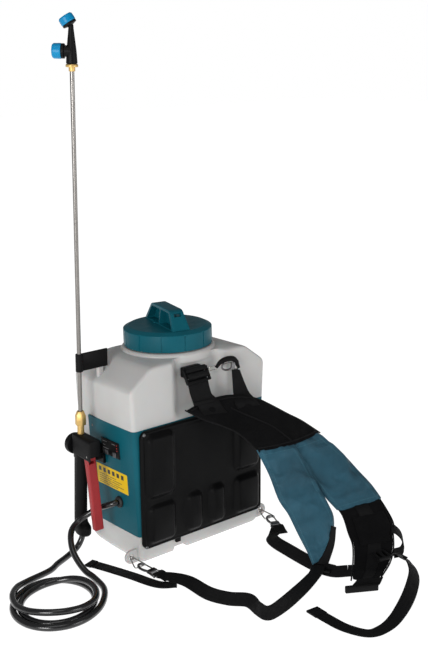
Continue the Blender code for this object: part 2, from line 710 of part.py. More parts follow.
def make_gun(wand):
    """Spray gun: head, oval grip and flared foot in one moulding, with its trigger and valve cap."""
    sides = 20
    rings = []
    grip = [
        (0.0395, 0.0015, 0.0115, 0.0190),
        (0.0435, 0.0015, 0.0130, 0.0225),
        (0.0560, 0.0015, 0.0130, 0.0235),
        (0.0630, 0.0060, 0.0122, 0.0160),
        (0.0730, 0.0075, 0.0120, 0.0140),
        (0.1300, 0.0050, 0.0118, 0.0136),
        (0.2000, 0.0015, 0.0122, 0.0142),
        (0.2120, 0.0010, 0.0122, 0.0145),
    ]
    for z, centre, half_x, half_y in grip:
        angles = [2 * math.pi * i / sides for i in range(sides)]
        rings.append([(half_x * math.cos(a), centre + half_y * math.sin(a), z) for a in angles])
    gun = loft("gun_body", rings, "grip_plastic", wand)
    head = box("union_gun_head", (-0.0125, -0.050, HEAD_BOTTOM), (0.0125, 0.0150, HEAD_TOP), None, wand)
    join(gun, bevelled(head, 0.0045, 2))
    slot = box("cutter_lever_slot", (-0.0060, -0.0480, 0.190), (0.0060, -0.0225, 0.2310), None, wand)
    pin_line = LEVER_PIVOT.yz
    pin_hole = rod("cutter_pin_hole", (-0.03, *pin_line), (0.03, *pin_line), 0.0022, 12, None, wand)
    hole_radius = HOSE_RADIUS + 0.0006
    hose_hole = rod("cutter_hose_hole", (0, 0.0015, 0.02), (0, 0.0015, 0.046), hole_radius, 16, None, wand)
    lance_hole = rod("cutter_lance_seat", (0, 0, 0.2380), (0, 0, 0.26), 0.0058, 16, None, wand)
    arch = box("cutter_arch", (-0.0112, -0.0550, 0.2000), (0.0112, -0.0200, 0.2178), None, wand)
    cut(gun, slot, arch, pin_hole, hose_hole, lance_hole)

    bearing = frame("trigger_pivot", LEVER_PIVOT, None, wand)
    rod("trigger_pin", (-0.0118, 0, 0), (0.0118, 0, 0), 0.0018, 12, "steel", bearing)
    stations = [(-0.0030, 0.0080), (-0.0600, -0.0035), (-0.1400, -0.0165), (-0.1470, -0.0178)]
    rings = []
    for z, y in stations:
        rings.append(lever_section(0.0100, y - 0.006, y + 0.006, z))
    lever = loft("trigger_lever", rings, "red_plastic", bearing)
    bevelled(lever, 0.0018)
    channel = []
    for z, y in ((-0.0180, 0.0075), (-0.0600, 0.0002), (-0.1400, -0.0125), (-0.1600, -0.0160)):
        channel.append(lever_section(0.0075, y - 0.0025, y + 0.02, z))
    cut(lever, loft("cutter_channel", channel, None, bearing))
    ear = [(0.0050, -0.0120), (0.0050, 0.0040), (0.0, 0.0062), (-0.0050, 0.0040), (-0.0050, -0.0120)]
    ears = loft("union_ear", [[(x, y, z) for y, z in ear] for x in (-0.0050, 0.0050)], None, bearing)
    join(lever, ears)
    cut(lever, box("cutter_lever_eye", (-0.0066, -0.02, -0.0165), (0.0066, 0.03, -0.0078), None, bearing))
    cut(lever, rod("cutter_ear_hole", (-0.02, 0, 0), (0.02, 0, 0), 0.0022, 12, None, bearing))

    cap_place = Matrix.Translation((0, 0.0163, 0.2235)) @ Matrix.Rotation(-math.pi / 2, 4, "X")
    profile = [(0, 0), (0.0200, 0), (0.0205, 0.002), (0.0205, 0.011), (0.0170, 0.0160), (0, 0.0175)]
    turned("valve_cap", profile, 24, "black_plastic", wand, cap_place)
    collar = [(0.0044, 0.2503), (0.0066, 0.2503), (0.0066, 0.2682), (0.0044, 0.2682)]
    turned("lance_collar", collar, 20, "brass", wand)
    nut = [(0.0049, 0.2687), (0.0108, 0.2687), (0.0108, 0.2870), (0.0068, 0.2965), (0.0049, 0.2965)]
    turned("lance_nut", nut, 6, "brass", wand, Matrix.Rotation(math.radians(15), 4, "Z"))


def make_hanger(wand, wall):
    """Cradle on the housing wall: a stepped plate and two prongs under the gun's head."""
    hanger = box("gun_hanger", (GAP, -0.0430, -0.0165), (0.0060, -0.0008, 0.0012), "black_plastic", wall)
    join(hanger, box("union_hanger_upper", (GAP, -0.0430, 0.0), (0.0060, -0.0100, 0.0215), None, wall))
    bevelled(hanger, 0.001)
    prongs = (("front", -0.0190, -0.0148, 0.2064), ("rear", 0.0170, 0.0215, 0.2022))
    for tag, low, high, top in prongs:
        join(hanger, box(f"union_prong_{tag}", (-0.0040, low, 0.1960), (0.0385, high, top), None, wand))


def make_lance(wand):
    inner = 0.0029
    start = LANCE_START - 0.030
    tube = [(inner, start), (LANCE_RADIUS, start), (LANCE_RADIUS, LANCE_END), (inner, LANCE_END)]
    turned("lance_tube", tube, 16, "steel", wand)
    fitting = [(0.0, 0.9346), (0.0043, 0.9346), (0.0043, 0.9268), (0.0057, 0.9268), (0.0057, 0.9341)]
    fitting += [(0.0108, 0.9341), (0.0110, 0.9375), (0.0098, 0.9392), (0.0, 0.9392)]
    turned("tip_fitting", fitting, 24, "brass", wand)
    nozzle = frame("nozzle_frame", (0, 0, NOZZLE_Z), Matrix.Rotation(NOZZLE_YAW, 3, "Z"), wand)
    body = [(0, -0.0214), (0.0101, -0.0214), (0.0088, 0.0), (0.0047, 0.0370), (0.0043, 0.0450), (0.0, 0.0460)]
    head = turned("nozzle_body", body, 24, "black_plastic", nozzle)
    side = Matrix.Rotation(math.pi / 2, 4, "Y")
    boss = [(0, 0), (0.0098, 0), (0.0098, 0.0118), (0.0130, 0.0125), (0.0130, 0.0172), (0.0060, 0.0172)]
    boss += [(0.0060, 0.0250), (0, 0.0250)]
    join(head, turned("union_side_boss", boss, 24, None, nozzle, side))
    top = Matrix.Translation((0.0002, 0, 0.0425)) @ Matrix.Rotation(NOZZLE_TILT, 4, "Y")
    boss = [(0, 0), (0.0043, 0), (0.0128, 0.0022), (0.0130, 0.0058), (0.0060, 0.0058)]
    boss += [(0.0060, 0.0130), (0, 0.0130)]
    join(head, turned("union_top_boss", boss, 24, None, nozzle, top))
    side_seat = Matrix.Translation((0.0175, 0, 0)) @ side
    top_seat = top @ Matrix.Translation((0, 0, 0.0061))
    for tag, place, height in (("side", side_seat, 0.0160), ("top", top_seat, 0.0135)):
        cap = [(0, 0.0095), (0.0066, 0.0095), (0.0066, 0.0), (0.0130, 0.0), (0.0135, 0.0020)]
        cap += [(0.0132, height - 0.0025), (0.0112, height), (0.0025, height)]
        cap += [(0.0025, height - 0.0018), (0, height - 0.0018)]
        holder = frame(f"{tag}_cap_axis", place.translation, place.to_3x3(), nozzle)
        turned(f"nozzle_cap_{tag}", cap, 24, "blue_plastic", holder)


def make_lance_clip():
    """Holder at the shoulder: a band round the lance whose two legs are screwed to the tank's post."""
    height = (0.3745, 0.4090)
    middle = sum(height) / 2
    lean = WAND_FOOT.y - math.tan(WAND_LEAN) * middle
    holder = frame("lance_clip_frame", (WAND_FOOT.x, lean, middle), Matrix.Rotation(WAND_LEAN, 3, "X"))
    half = (height[1] - height[0]) / 2
    clip = rod("lance_clip", (0, 0, -half), (0, 0, half), 0.0070, 24, "black_plastic", holder)
    join(clip, box("union_clip_leg", (0.0, -0.0022, -half), (0.0630, 0.0022, half), None, holder))
    cut(clip, rod("cutter_clip_bore", (0, 0, -0.03), (0, 0, 0.03), 0.0046, 20, None, holder))


# ---------------------------------------------------------------- hose


HOSE_FROM_PUMP = [
    (-0.1645, -0.0360, 0.1132),
    (-0.1705, -0.0348, 0.1128),
    (-0.1785, -0.0235, 0.1078),
    (-0.1870, -0.0052, 0.0985),
    (-0.2025, 0.0090, 0.0865),
    (-0.2210, 0.0155, 0.0750),
    (-0.2400, 0.0095, 0.0655),
    (-0.2535, -0.0060, 0.0555),
    (-0.2620, -0.0250, 0.0410),
    (-0.2640, -0.0450, 0.0265),
    (-0.2620, -0.0670, 0.0135),
    (-0.2580, -0.0900, 0.0068),
]
HOSE_FROM_GUN = [
    (-0.2025, 0.0315, 0.0385),
    (-0.2050, 0.0335, 0.0260),
    (-0.2180, 0.0320, 0.0130),
    (-0.2460, 0.0230, 0.0066),
    (-0.2760, 0.0090, 0.0065),
    (-0.3050, -0.0070, 0.0065),
    (-0.3330, -0.0190, 0.0065),
]


def hose(name, route, count):
    """A bare length of hose, as a bevelled curve."""
    curve = bpy.data.curves.new(name, "CURVE")
    curve.dimensions = "3D"
    curve.bevel_depth = HOSE_RADIUS
    curve.bevel_resolution = 2
    curve.use_fill_caps = True
    points = smooth_path(route, count)
    spline = curve.splines.new("POLY")
    spline.points.add(len(points) - 1)
    for knot, point in zip(spline.points, points):
        knot.co = (*point, 1.0)
    curve.materials.append(material("hose_rubber"))
    obj = bpy.data.objects.new(name, curve)
    bpy.context.scene.collection.objects.link(obj)


def make_hose():
    hose("hose_from_pump", HOSE_FROM_PUMP, 18)
    hose("hose_from_gun", HOSE_FROM_GUN, 14)
    ring = [(COIL_INNER, 0.0005), (COIL_OUTER, 0.0005), (COIL_OUTER, COIL_HEIGHT), (COIL_INNER, COIL_HEIGHT)]
    stretch = Matrix.Scale(COIL_STRETCH, 4, (0.63, 0.78, 0))
    turned("hose_coil", ring, 36, "hose_rubber", None, Matrix.Translation(COIL_CENTRE) @ stretch)


# ---------------------------------------------------------------- harness


def sleeve(name, outer, inner, finish):
    """A flat tube of fabric round a pad, open at both ends."""
    bm = bmesh.new()
    loops = [[[bm.verts.new(p) for p in ring] for ring in rings] for rings in (outer, inner)]
    for rings in loops:
        for low, high in zip(rings, rings[1:]):
            for i in range(4):
                bm.faces.new((low[i], low[(i + 1) % 4], high[(i + 1) % 4], high[i]))
    for end in (0, -1):
        for i in range(4):
            j = (i + 1) % 4
            bm.faces.new((loops[0][end][i], loops[0][end][j], loops[1][end][j], loops[1][end][i]))
    return mesh_object(name, bm, finish)


def edge_rings(left, right, count, thick, inset=0.0):
    """Four-cornered rings of a slab that lies between two edges, each end and side inset alike."""
    left = smooth_path(left, count)
    right = smooth_path(right, count)
    middles = [(a + b) / 2 for a, b in zip(left, right)]
    rings = []
    for a, b, along in zip(left, right, tangents(middles)):
        across = (b - a).normalized() * inset
        up = along.cross(b - a).normalized() * thick / 2
        rings.append([a + across - up, b - across - up, b - across + up, a + across + up])
    return rings


def make_yoke():
    """The slab behind the neck. It is widest at its lower edge, where both shoulder straps are sewn on."""
    rings = []
    middles = smooth_path(YOKE_MIDDLE, len(YOKE_MIDDLE))
    for edges, along in zip(zip(YOKE_LEFT, YOKE_MIDDLE, YOKE_RIGHT), tangents(middles)):
        left, middle, right = (Vector(point) for point in edges)
        up = along.cross(right - left).normalized() * YOKE_THICK / 2
        rings.append([left - up, middle - up, right - up, right + up, middle + up, left + up])
    loft("harness_yoke", rings, "pad_fabric")


def make_pads():
    """The yoke, then one padded shoulder strap each side, each in a fabric cover."""
    make_yoke()
    pads = (
        ("left", NEAR_PAD_LEFT, NEAR_PAD_RIGHT, 10, 10),
        ("right", FAR_PAD_LEFT, FAR_PAD_RIGHT, 15, 8),
    )
    for side, left, right, count, covered in pads:
        foam = PAD_THICK - 2 * COVER_WALL - 0.001
        inside = edge_rings(left, right, count, foam, COVER_WALL + 0.001)
        loft(f"{side}_shoulder_pad", inside, "pad_fabric")
        outer = edge_rings(left, right, count, PAD_THICK)
        inner = edge_rings(left, right, count, PAD_THICK - 2 * COVER_WALL, COVER_WALL)
        sleeve(f"{side}_pad_cover", outer[:covered], inner[:covered], "cover_fabric")


def oriented(origin, x_axis, up):
    """A rotation whose X runs along x_axis and whose Z is as near to up as can be."""
    x_axis = Vector(x_axis).normalized()
    z_axis = Vector(up) - x_axis * Vector(up).dot(x_axis)
    z_axis.normalize()
    y_axis = z_axis.cross(x_axis)
    turn = Matrix((x_axis, y_axis, z_axis)).transposed()
    return origin, turn


def ladder_lock(name, place, width, length=0.030, thick=0.0060):
    """Webbing buckle: an open frame with a cross bar."""
    holder = frame(f"{name}_frame", *place)
    corner = Vector((length / 2, width / 2, thick / 2))
    outer = box(name, -corner, corner, "black_plastic", holder)
    bevelled(outer, 0.0012)
    slot = width / 2 - 0.0045
    for i, (low, high) in enumerate(((-length / 2 + 0.005, -0.003), (0.003, length / 2 - 0.005))):
        cut(outer, box(f"cutter_{name}_{i}", (low, -slot, -0.02), (high, slot, 0.02), None, holder))


def snap_hook(name, place, scale=1.0):
    """Metal snap hook: an eye block and a bent hook, closed by a small sprung gate."""
    holder = frame(f"{name}_frame", *place)
    s = scale * 0.001
    body = box(name, (-12 * s, -7 * s, -2.6 * s), (-4 * s, 7 * s, 2.6 * s), "dark_steel", holder)
    bevelled(body, 0.8 * s)
    hook = [(-6, 4.5), (2, 6.8), (10, 6.8), (16, 4.2), (18.5, 0), (16.5, -4.2), (13.2, -5.6)]
    points = smooth_path([(x * s, y * s, 0) for x, y in hook], 14)
    join(body, bar_along(f"union_{name}", points, 1.9 * s, 8, None, holder))
    eye = [(-10, 5.5), (-15, 8), (-20, 8), (-21.5, 6), (-21.5, -6), (-20, -8), (-15, -8), (-10, -5.5)]
    points = [(x * s, y * s, 0) for x, y in eye]
    join(body, bar_along(f"union_eye_{name}", points, 1.5 * s, 8, None, holder))
    pivot = frame(f"{name}_gate_pivot", (-2.2 * s, -5.4 * s, 0), None, holder)
    bar_along(f"{name}_gate", [(-0.8 * s, 0, 0), (13.2 * s, 0, 0)], 1.2 * s, 8, "steel", pivot)


def wire_ring(name, corners, radius, finish="steel"):
    """A closed loop of wire through rounded corners."""
    points = [Vector(c) for c in corners]
    rounded = []
    for before, corner, after in zip([points[-1], *points[:-1]], points, [*points[1:], points[0]]):
        rounded.append(corner.lerp(before, 0.22))
        rounded.append(corner.lerp(before, 0.06).lerp(corner.lerp(after, 0.06), 0.5))
        rounded.append(corner.lerp(after, 0.22))
    normal = (points[1] - points[0]).cross(points[2] - points[0]).normalized()
    bm = bmesh.new()
    rings = []
    count = len(rounded)
    for i, point in enumerate(rounded):
        along = (rounded[(i + 1) % count] - rounded[i - 1]).normalized()
        side = along.cross(normal)
        angles = [2 * math.pi * k / 8 for k in range(8)]
        circle = [point + radius * (math.cos(a) * side + math.sin(a) * normal) for a in angles]
        rings.append([bm.verts.new(spot) for spot in circle])
    for i in range(count):
        low = rings[i]
        high = rings[(i + 1) % count]
        for k in range(8):
            bm.faces.new((low[k], low[(k + 1) % 8], high[(k + 1) % 8], high[k]))
    return mesh_object(name, bm, finish)


def make_upper_harness():
    """Anchor bracket in the tank's front recess, with the two upper webs on it."""
    face = -front(0.34) + RECESS_DEPTH
    anchor = box("strap_anchor", (-0.040, face - 0.0130, 0.3500), (0.004, face - 0.0006, 0.3700), "black_plastic")
    bevelled(anchor, 0.002)
    place = oriented((-0.0183, -0.1120, 0.3548), (0.01, -0.47, -0.88), (0, -0.88, 0.47))
    ladder_lock("upper_adjuster", place, 0.059, 0.029)
    corners = [(0.0145, 0.3640), (0.0350, 0.3620), (0.0350, 0.3540), (0.0145, 0.3560)]
    wire_ring("anchor_ring", [(x, -0.1080, z) for x, z in corners], 0.0012)
    snap_hook("upper_snap_hook", oriented((0.062, -0.1140, 0.3575), (-1, 0, 0.10), (0, -1, 0)), 1.05)
    webs = (
        (
            "upper_left_web",
            [(-0.0450, -0.1235, 0.3380), (-0.0425, -0.1250, 0.3215), (-0.0402, -0.1275, 0.3045)],
            [(0.0050, -0.1235, 0.3370), (0.0080, -0.1250, 0.3205), (0.0105, -0.1275, 0.3030)],
        ),
        (
            "upper_right_web",
            [(0.0674, -0.1160, 0.3450), (0.0640, -0.1210, 0.3250), (0.0608, -0.1265, 0.3045)],
            [(0.0862, -0.1180, 0.3435), (0.0910, -0.1250, 0.3230), (0.0960, -0.1330, 0.3010)],
        ),
    )
    for name, left, right in webs:
        loft(name, edge_rings(left, right, 5, WEB_THICK), "webbing")


def make_lower_harness():
    """Wire rings in the lugs, snap hooks on them, and the lower webbing on the floor."""
    for side, tag in ((-1, "left"), (1, "right")):
        x = side * LUG_X
        tip = Vector((x + side * 0.004, LUG_Y - 0.0310, 0.0060))
        corners = [(x, LUG_Y + 0.0060, LUG_Z + 0.001), (x - 0.0130, tip.y, tip.z), (x + 0.0130, tip.y, tip.z)]
        wire_ring(f"{tag}_lug_ring", corners, 0.0015)
        direction = (-0.10, 1.0, 0.06) if side < 0 else (0.45, 1.0, 0.06)
        origin = (x - 0.0125 * max(side, 0), LUG_Y - 0.0555, 0.0100)
        snap_hook(f"{tag}_snap_hook", oriented(origin, direction, (0, 0, 1)), LOWER_HOOK_SCALE)
    up = (0, 0, 1)
    left = [
        (-0.1630, -0.1720, 0.0085),
        (-0.1540, -0.1900, 0.0110),
        (-0.1440, -0.2280, 0.0120),
        (-0.1434, -0.2850, 0.0105),
        (-0.1290, -0.3240, 0.0100),
        (-0.1080, -0.3530, 0.0105),
        (-0.1180, -0.3920, 0.0125),
        (-0.1150, -0.4140, 0.0125),
        (-0.0783, -0.4096, 0.0128),
        (-0.0195, -0.3887, 0.0105),
        (0.0180, -0.3740, 0.0100),
        (0.0440, -0.3640, 0.0120),
    ]
    flat_web("lower_left_web", left, 34, [0, -18, -30, -42, -44, -50, -70, -68, -46, -30, -15, 0])
    tail = [
        (-0.1540, -0.2060, 0.0018),
        (-0.1800, -0.1830, 0.0018),
        (-0.1960, -0.1200, 0.0018),
        (-0.2130, -0.0600, 0.0018),
        (-0.2260, -0.0210, 0.0018),
    ]
    flat_web("left_free_tail", tail, 12, [0, 0])
    right = [
        (0.1330, -0.1700, 0.0075),
        (0.1160, -0.1780, 0.0075),
        (0.0980, -0.1900, 0.0070),
        (0.0885, -0.2150, 0.0065),
        (0.0835, -0.2540, 0.0070),
        (0.0792, -0.3000, 0.0040),
        (0.0785, -0.3400, 0.0020),
        (0.0850, -0.3720, 0.0018),
        (0.0990, -0.3880, 0.0020),
    ]
    flat_web("lower_right_web", right, 20, [0, -10, -20, -24, -22, -8, 0, 0, 0])
    long_tail = [
        (0.1830, -0.4640, 0.0340),
        (0.1770, -0.4840, 0.0260),
        (0.1580, -0.5040, 0.0180),
        (0.1064, -0.5342, 0.0090),
        (0.0457, -0.5600, 0.0030),
        (0.0040, -0.5690, 0.0020),
        (-0.0253, -0.5620, 0.0018),
        (-0.0400, -0.5250, 0.0018),
        (-0.0405, -0.4840, 0.0018),
        (-0.0369, -0.4400, 0.0018),
    ]
    flat_web("right_free_tail", long_tail, 32, [40, 40, 30, 15, 3, 0, 0, 0, 0, 0])
    place = oriented((0.0860, -0.3560, 0.0084), (0.35, -1, 0.0), up)
    ladder_lock("left_slider", place, 0.032, 0.024, 0.0050)
    place = oriented((0.1420, -0.4400, 0.0460), (1, -0.35, 0.10), up)
    ladder_lock("right_ladder_lock", place, 0.032, 0.026, 0.0060)


def flat_web(name, route, count, rolls):
    """Webbing on the floor. Its width stays level but for a roll about its length, in degrees."""
    points = smooth_path(route, count)
    across = []
    for along, roll in zip(tangents(points), spread(rolls, count)):
        level = along.cross(Vector((0, 0, 1))).normalized()
        angle = math.radians(roll)
        across.append(level * math.cos(angle) + level.cross(along) * math.sin(angle))
    return loft(name, band_rings(points, across, [LOWER_WEB] * count, WEB_THICK), "webbing")


# ---------------------------------------------------------------- assembly


def main():
    clear_scene()
    make_tank()
    make_filler()
    make_housing()
    left_wall = wall_frame(-1)
    right_wall = wall_frame(1)
    make_panel(left_wall)
    make_door(right_wall)
    make_internals()
    make_back_pad()
    wand = frame("wand_frame", WAND_FOOT, Matrix.Rotation(WAND_LEAN, 3, "X"))
    make_gun(wand)
    make_hanger(wand, left_wall)
    make_lance(wand)
    make_lance_clip()
    make_hose()
    make_pads()
    make_upper_harness()
    make_lower_harness()


main()
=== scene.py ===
"""Backpack sprayer: its looks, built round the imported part. Metres, in the part's own frame.

The wearer leans on the -Y side, the wand hangs on the -X wall, and the filler cap's axis is the Z axis.
"""

import json
import math

import bmesh
import bpy
from mathutils import Matrix, Vector, noise
from mathutils.bvhtree import BVHTree
from mathutils.kdtree import KDTree

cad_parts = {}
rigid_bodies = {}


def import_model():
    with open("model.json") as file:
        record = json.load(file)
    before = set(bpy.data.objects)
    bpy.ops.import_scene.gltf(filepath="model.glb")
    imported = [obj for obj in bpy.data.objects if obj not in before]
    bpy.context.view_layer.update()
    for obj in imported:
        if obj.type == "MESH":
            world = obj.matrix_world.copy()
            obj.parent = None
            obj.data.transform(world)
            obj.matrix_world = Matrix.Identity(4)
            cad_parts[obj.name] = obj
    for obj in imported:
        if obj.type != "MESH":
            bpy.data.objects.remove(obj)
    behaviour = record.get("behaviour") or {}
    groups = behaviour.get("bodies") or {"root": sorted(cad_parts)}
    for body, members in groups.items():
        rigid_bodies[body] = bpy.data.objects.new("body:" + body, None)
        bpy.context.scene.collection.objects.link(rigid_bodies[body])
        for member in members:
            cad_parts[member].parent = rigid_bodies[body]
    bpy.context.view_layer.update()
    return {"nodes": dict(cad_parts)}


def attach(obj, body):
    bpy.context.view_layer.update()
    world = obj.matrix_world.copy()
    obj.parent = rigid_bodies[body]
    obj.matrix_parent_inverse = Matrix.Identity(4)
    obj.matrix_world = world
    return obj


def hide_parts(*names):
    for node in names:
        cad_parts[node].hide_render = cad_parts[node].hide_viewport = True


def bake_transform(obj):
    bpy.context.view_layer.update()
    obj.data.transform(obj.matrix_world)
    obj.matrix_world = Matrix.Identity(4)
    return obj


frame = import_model()
NODES = frame["nodes"]

# ---------------------------------------------------------------- camera and lights

CAMERA_PLACE = Vector((-1.2746, -1.701, 0.955))
CAMERA_YAW, CAMERA_PITCH, CAMERA_ROLL = -0.6864, 0.2432, -0.0261
CAMERA_LENS = 61.37
AMBIENT = 0.2


def add_camera():
    yaw, pitch, roll = CAMERA_YAW, CAMERA_PITCH, CAMERA_ROLL
    back = Vector((math.sin(yaw) * math.cos(pitch), -math.cos(yaw) * math.cos(pitch), math.sin(pitch)))
    right = Vector((math.cos(yaw), math.sin(yaw), 0.0))
    up = back.cross(right)
    c, s = math.cos(roll), math.sin(roll)
    turn = Matrix((c * right + s * up, -s * right + c * up, back)).transposed()
    data = bpy.data.cameras.new("camera")
    data.lens = CAMERA_LENS
    data.clip_end = 60.0
    camera = bpy.data.objects.new("camera", data)
    camera.matrix_world = Matrix.Translation(CAMERA_PLACE) @ turn.to_4x4()
    bpy.context.scene.collection.objects.link(camera)
    bpy.context.scene.camera = camera


def add_light(name, place, target, size, power):
    data = bpy.data.lights.new(name, "AREA")
    data.shape = "RECTANGLE"
    data.size, data.size_y = size
    data.energy = power
    light = bpy.data.objects.new(name, data)
    light.location = place
    aim = Vector(target) - Vector(place)
    light.rotation_euler = aim.to_track_quat("-Z", "Y").to_euler()
    bpy.context.scene.collection.objects.link(light)


def add_stage():
    scene = bpy.context.scene
    scene.view_settings.view_transform = "Standard"
    world = bpy.data.worlds.new("studio")
    scene.world = world
    world.use_nodes = True
    tree = world.node_tree
    background = tree.nodes["Background"]
    background.inputs["Color"].default_value = (1.0, 1.0, 1.0, 1.0)
    seen = tree.nodes.new("ShaderNodeLightPath")
    strength = tree.nodes.new("ShaderNodeMapRange")
    strength.inputs["To Min"].default_value = AMBIENT
    strength.inputs["To Max"].default_value = 1.0
    tree.links.new(seen.outputs["Is Camera Ray"], strength.inputs["Value"])
    tree.links.new(strength.outputs["Result"], background.inputs["Strength"])
    add_light("key", (-3.0, -1.5, 0.9), (0.0, -0.05, 0.25), (1.3, 1.2), 62.0)
    add_light("front", (0.9, -3.0, 0.9), (0.0, -0.1, 0.25), (1.2, 1.2), 20.0)
    add_light("top", (-0.8, -0.9, 2.6), (0.0, 0.0, 0.2), (1.4, 1.4), 9.0)
    bm = bmesh.new()
    bmesh.ops.create_grid(bm, x_segments=4, y_segments=4, size=14.0)
    mesh = bpy.data.meshes.new("floor")
    bm.to_mesh(mesh)
    bm.free()
    floor = bpy.data.objects.new("floor", mesh)
    floor.location.z = -0.0002
    scene.collection.objects.link(floor)
    paper = finish("floor_paper", (0.3, 0.3, 0.3), 0.95, grain=(300, 0.0), mottle=(3, 0.004), specular=0.0)
    shader = paper.node_tree.nodes["Principled BSDF"]
    shader.inputs["Emission Color"].default_value = (1.0, 1.0, 1.0, 1.0)
    shader.inputs["Emission Strength"].default_value = 0.97
    mesh.materials.append(paper)


# ---------------------------------------------------------------- materials


class Nodes:
    """Shorthand for one material's node tree."""

    def __init__(self, name):
        self.material = bpy.data.materials.new(name)
        self.material.use_nodes = True
        self.tree = self.material.node_tree
        self.shader = self.tree.nodes["Principled BSDF"]

    def add(self, kind, **settings):
        node = self.tree.nodes.new("ShaderNode" + kind)
        for key, value in settings.items():
            setattr(node, key, value)
        return node

    def feed(self, value, socket):
        if isinstance(value, bpy.types.NodeSocket):
            self.tree.links.new(value, socket)
        else:
            socket.default_value = value

    def math(self, operation, a, b=0.0, c=0.0):
        node = self.add("Math", operation=operation)
        for value, socket in zip((a, b, c), node.inputs):
            self.feed(value, socket)
        return node.outputs[0]

    def noise(self, where, scale, detail=3.0, roughness=0.5):
        node = self.add("TexNoise")
        self.feed(where, node.inputs["Vector"])
        node.inputs["Scale"].default_value = scale
        node.inputs["Detail"].default_value = detail
        node.inputs["Roughness"].default_value = roughness
        return node.outputs["Fac"]

    def ramp(self, value, low, high, to_low=0.0, to_high=1.0):
        node = self.add("MapRange", clamp=True)
        for item, socket in zip((value, low, high, to_low, to_high), node.inputs):
            self.feed(item, socket)
        return node.outputs[0]

    def mix(self, part, a, b):
        node = self.add("Mix", data_type="RGBA")
        self.feed(part, node.inputs["Factor"])
        self.feed(a if isinstance(a, bpy.types.NodeSocket) else (*a, 1.0), node.inputs["A"])
        self.feed(b if isinstance(b, bpy.types.NodeSocket) else (*b, 1.0), node.inputs["B"])
        return node.outputs["Result"]

    def bump(self, height, distance, strength=1.0, normal=None):
        node = self.add("Bump")
        node.inputs["Strength"].default_value = strength
        node.inputs["Distance"].default_value = distance
        self.feed(height, node.inputs["Height"])
        if normal is not None:
            self.feed(normal, node.inputs["Normal"])
        return node.outputs["Normal"]


def shade(colour, amount):
    return tuple(min(1.0, channel * amount) for channel in colour)


def finish(
    name,
    colour,
    roughness,
    metallic=0.0,
    grain=(1400, 0.1),
    mottle=(18, 0.08),
    specular=0.5,
    sheen=0.0,
    coat=0.0,
    weave=None,
    worn=0.0,
    brushed=False,
    subsurface=0.0,
):
    """A surface with fine grain, cloudy colour and, where asked, a weave, worn edges or a brushed look."""
    n = Nodes(name)
    coordinates = n.add("TexCoord")
    where = coordinates.outputs["Object"]
    cloud = n.noise(where, mottle[0], 4.0)
    base = n.mix(n.ramp(cloud, 0.3, 0.7), shade(colour, 1 - mottle[1]), shade(colour, 1 + mottle[1]))
    fine = n.noise(where, grain[0], 2.0)
    normal = None
    if weave == "webbing":
        split = n.add("SeparateXYZ")
        n.feed(coordinates.outputs["UV"], split.inputs[0])
        u, v = split.outputs[0], split.outputs[1]
        chevron = n.math("ADD", v, n.math("MULTIPLY", n.math("PINGPONG", u, 0.0032), 0.8))
        rib = n.math("SINE", n.math("MULTIPLY", chevron, 2 * math.pi / 0.0021))
        cord = n.math("ABSOLUTE", n.math("SINE", n.math("MULTIPLY", u, math.pi / 0.0016)))
        height = n.math("MULTIPLY_ADD", rib, 0.5, cord)
        normal = n.bump(height, 0.00035, 1.0)
        # painted shade: the webbing's colour is darkened in the troughs of its ribs, following the rib wave
        # that drives the bump
        base = n.mix(n.ramp(rib, -1.0, 1.0), shade(colour, 0.55), base)
    elif weave == "cloth":
        split = n.add("SeparateXYZ")
        n.feed(where, split.inputs[0])
        waves = [n.math("SINE", n.math("MULTIPLY", axis, 2 * math.pi / 0.0013)) for axis in split.outputs]
        height = n.math("MULTIPLY", n.math("ADD", waves[0], waves[1]), waves[2])
        normal = n.bump(height, 0.00022, 1.0)
        slub = n.noise(where, 260, 5.0, 0.7)
        base = n.mix(n.ramp(slub, 0.35, 0.7, 0.0, 0.5), base, shade(colour, 1.35))
    if brushed:
        stretch = n.add("Mapping")
        stretch.inputs["Scale"].default_value = (1.0, 1.0, 0.06)
        n.feed(where, stretch.inputs["Vector"])
        fine = n.noise(stretch.outputs[0], grain[0], 3.0)
    normal = n.bump(fine, grain[1] * 0.001, 1.0, normal)
    rough = n.ramp(n.noise(where, mottle[0] * 3.1, 3.0), 0.3, 0.7, roughness * 0.88,
                   min(1.0, roughness * 1.12))
    if worn:
        rounded = n.add("Bevel", samples=4)
        rounded.inputs["Radius"].default_value = 0.0014
        plain = n.add("NewGeometry")
        across = n.add("VectorMath", operation="DOT_PRODUCT")
        n.feed(rounded.outputs[0], across.inputs[0])
        n.feed(plain.outputs["Normal"], across.inputs[1])
        edge = n.ramp(across.outputs["Value"], 0.985, 0.9)
        scuffs = n.math("MULTIPLY", edge, n.ramp(n.noise(where, 160, 4.0), 0.42, 0.62))
        base = n.mix(n.math("MULTIPLY", scuffs, worn), base, shade(colour, 2.6))
    n.feed(base, n.shader.inputs["Base Color"])
    n.feed(rough, n.shader.inputs["Roughness"])
    n.feed(normal, n.shader.inputs["Normal"])
    n.shader.inputs["Metallic"].default_value = metallic
    n.shader.inputs["Specular IOR Level"].default_value = specular
    n.shader.inputs["Sheen Weight"].default_value = sheen
    n.shader.inputs["Sheen Roughness"].default_value = 0.4
    n.shader.inputs["Coat Weight"].default_value = coat
    n.shader.inputs["Coat Roughness"].default_value = 0.15
    if subsurface:
        n.shader.inputs["Subsurface Weight"].default_value = subsurface
        n.shader.inputs["Subsurface Scale"].default_value = 0.01
    return n.material


MATERIALS = {}


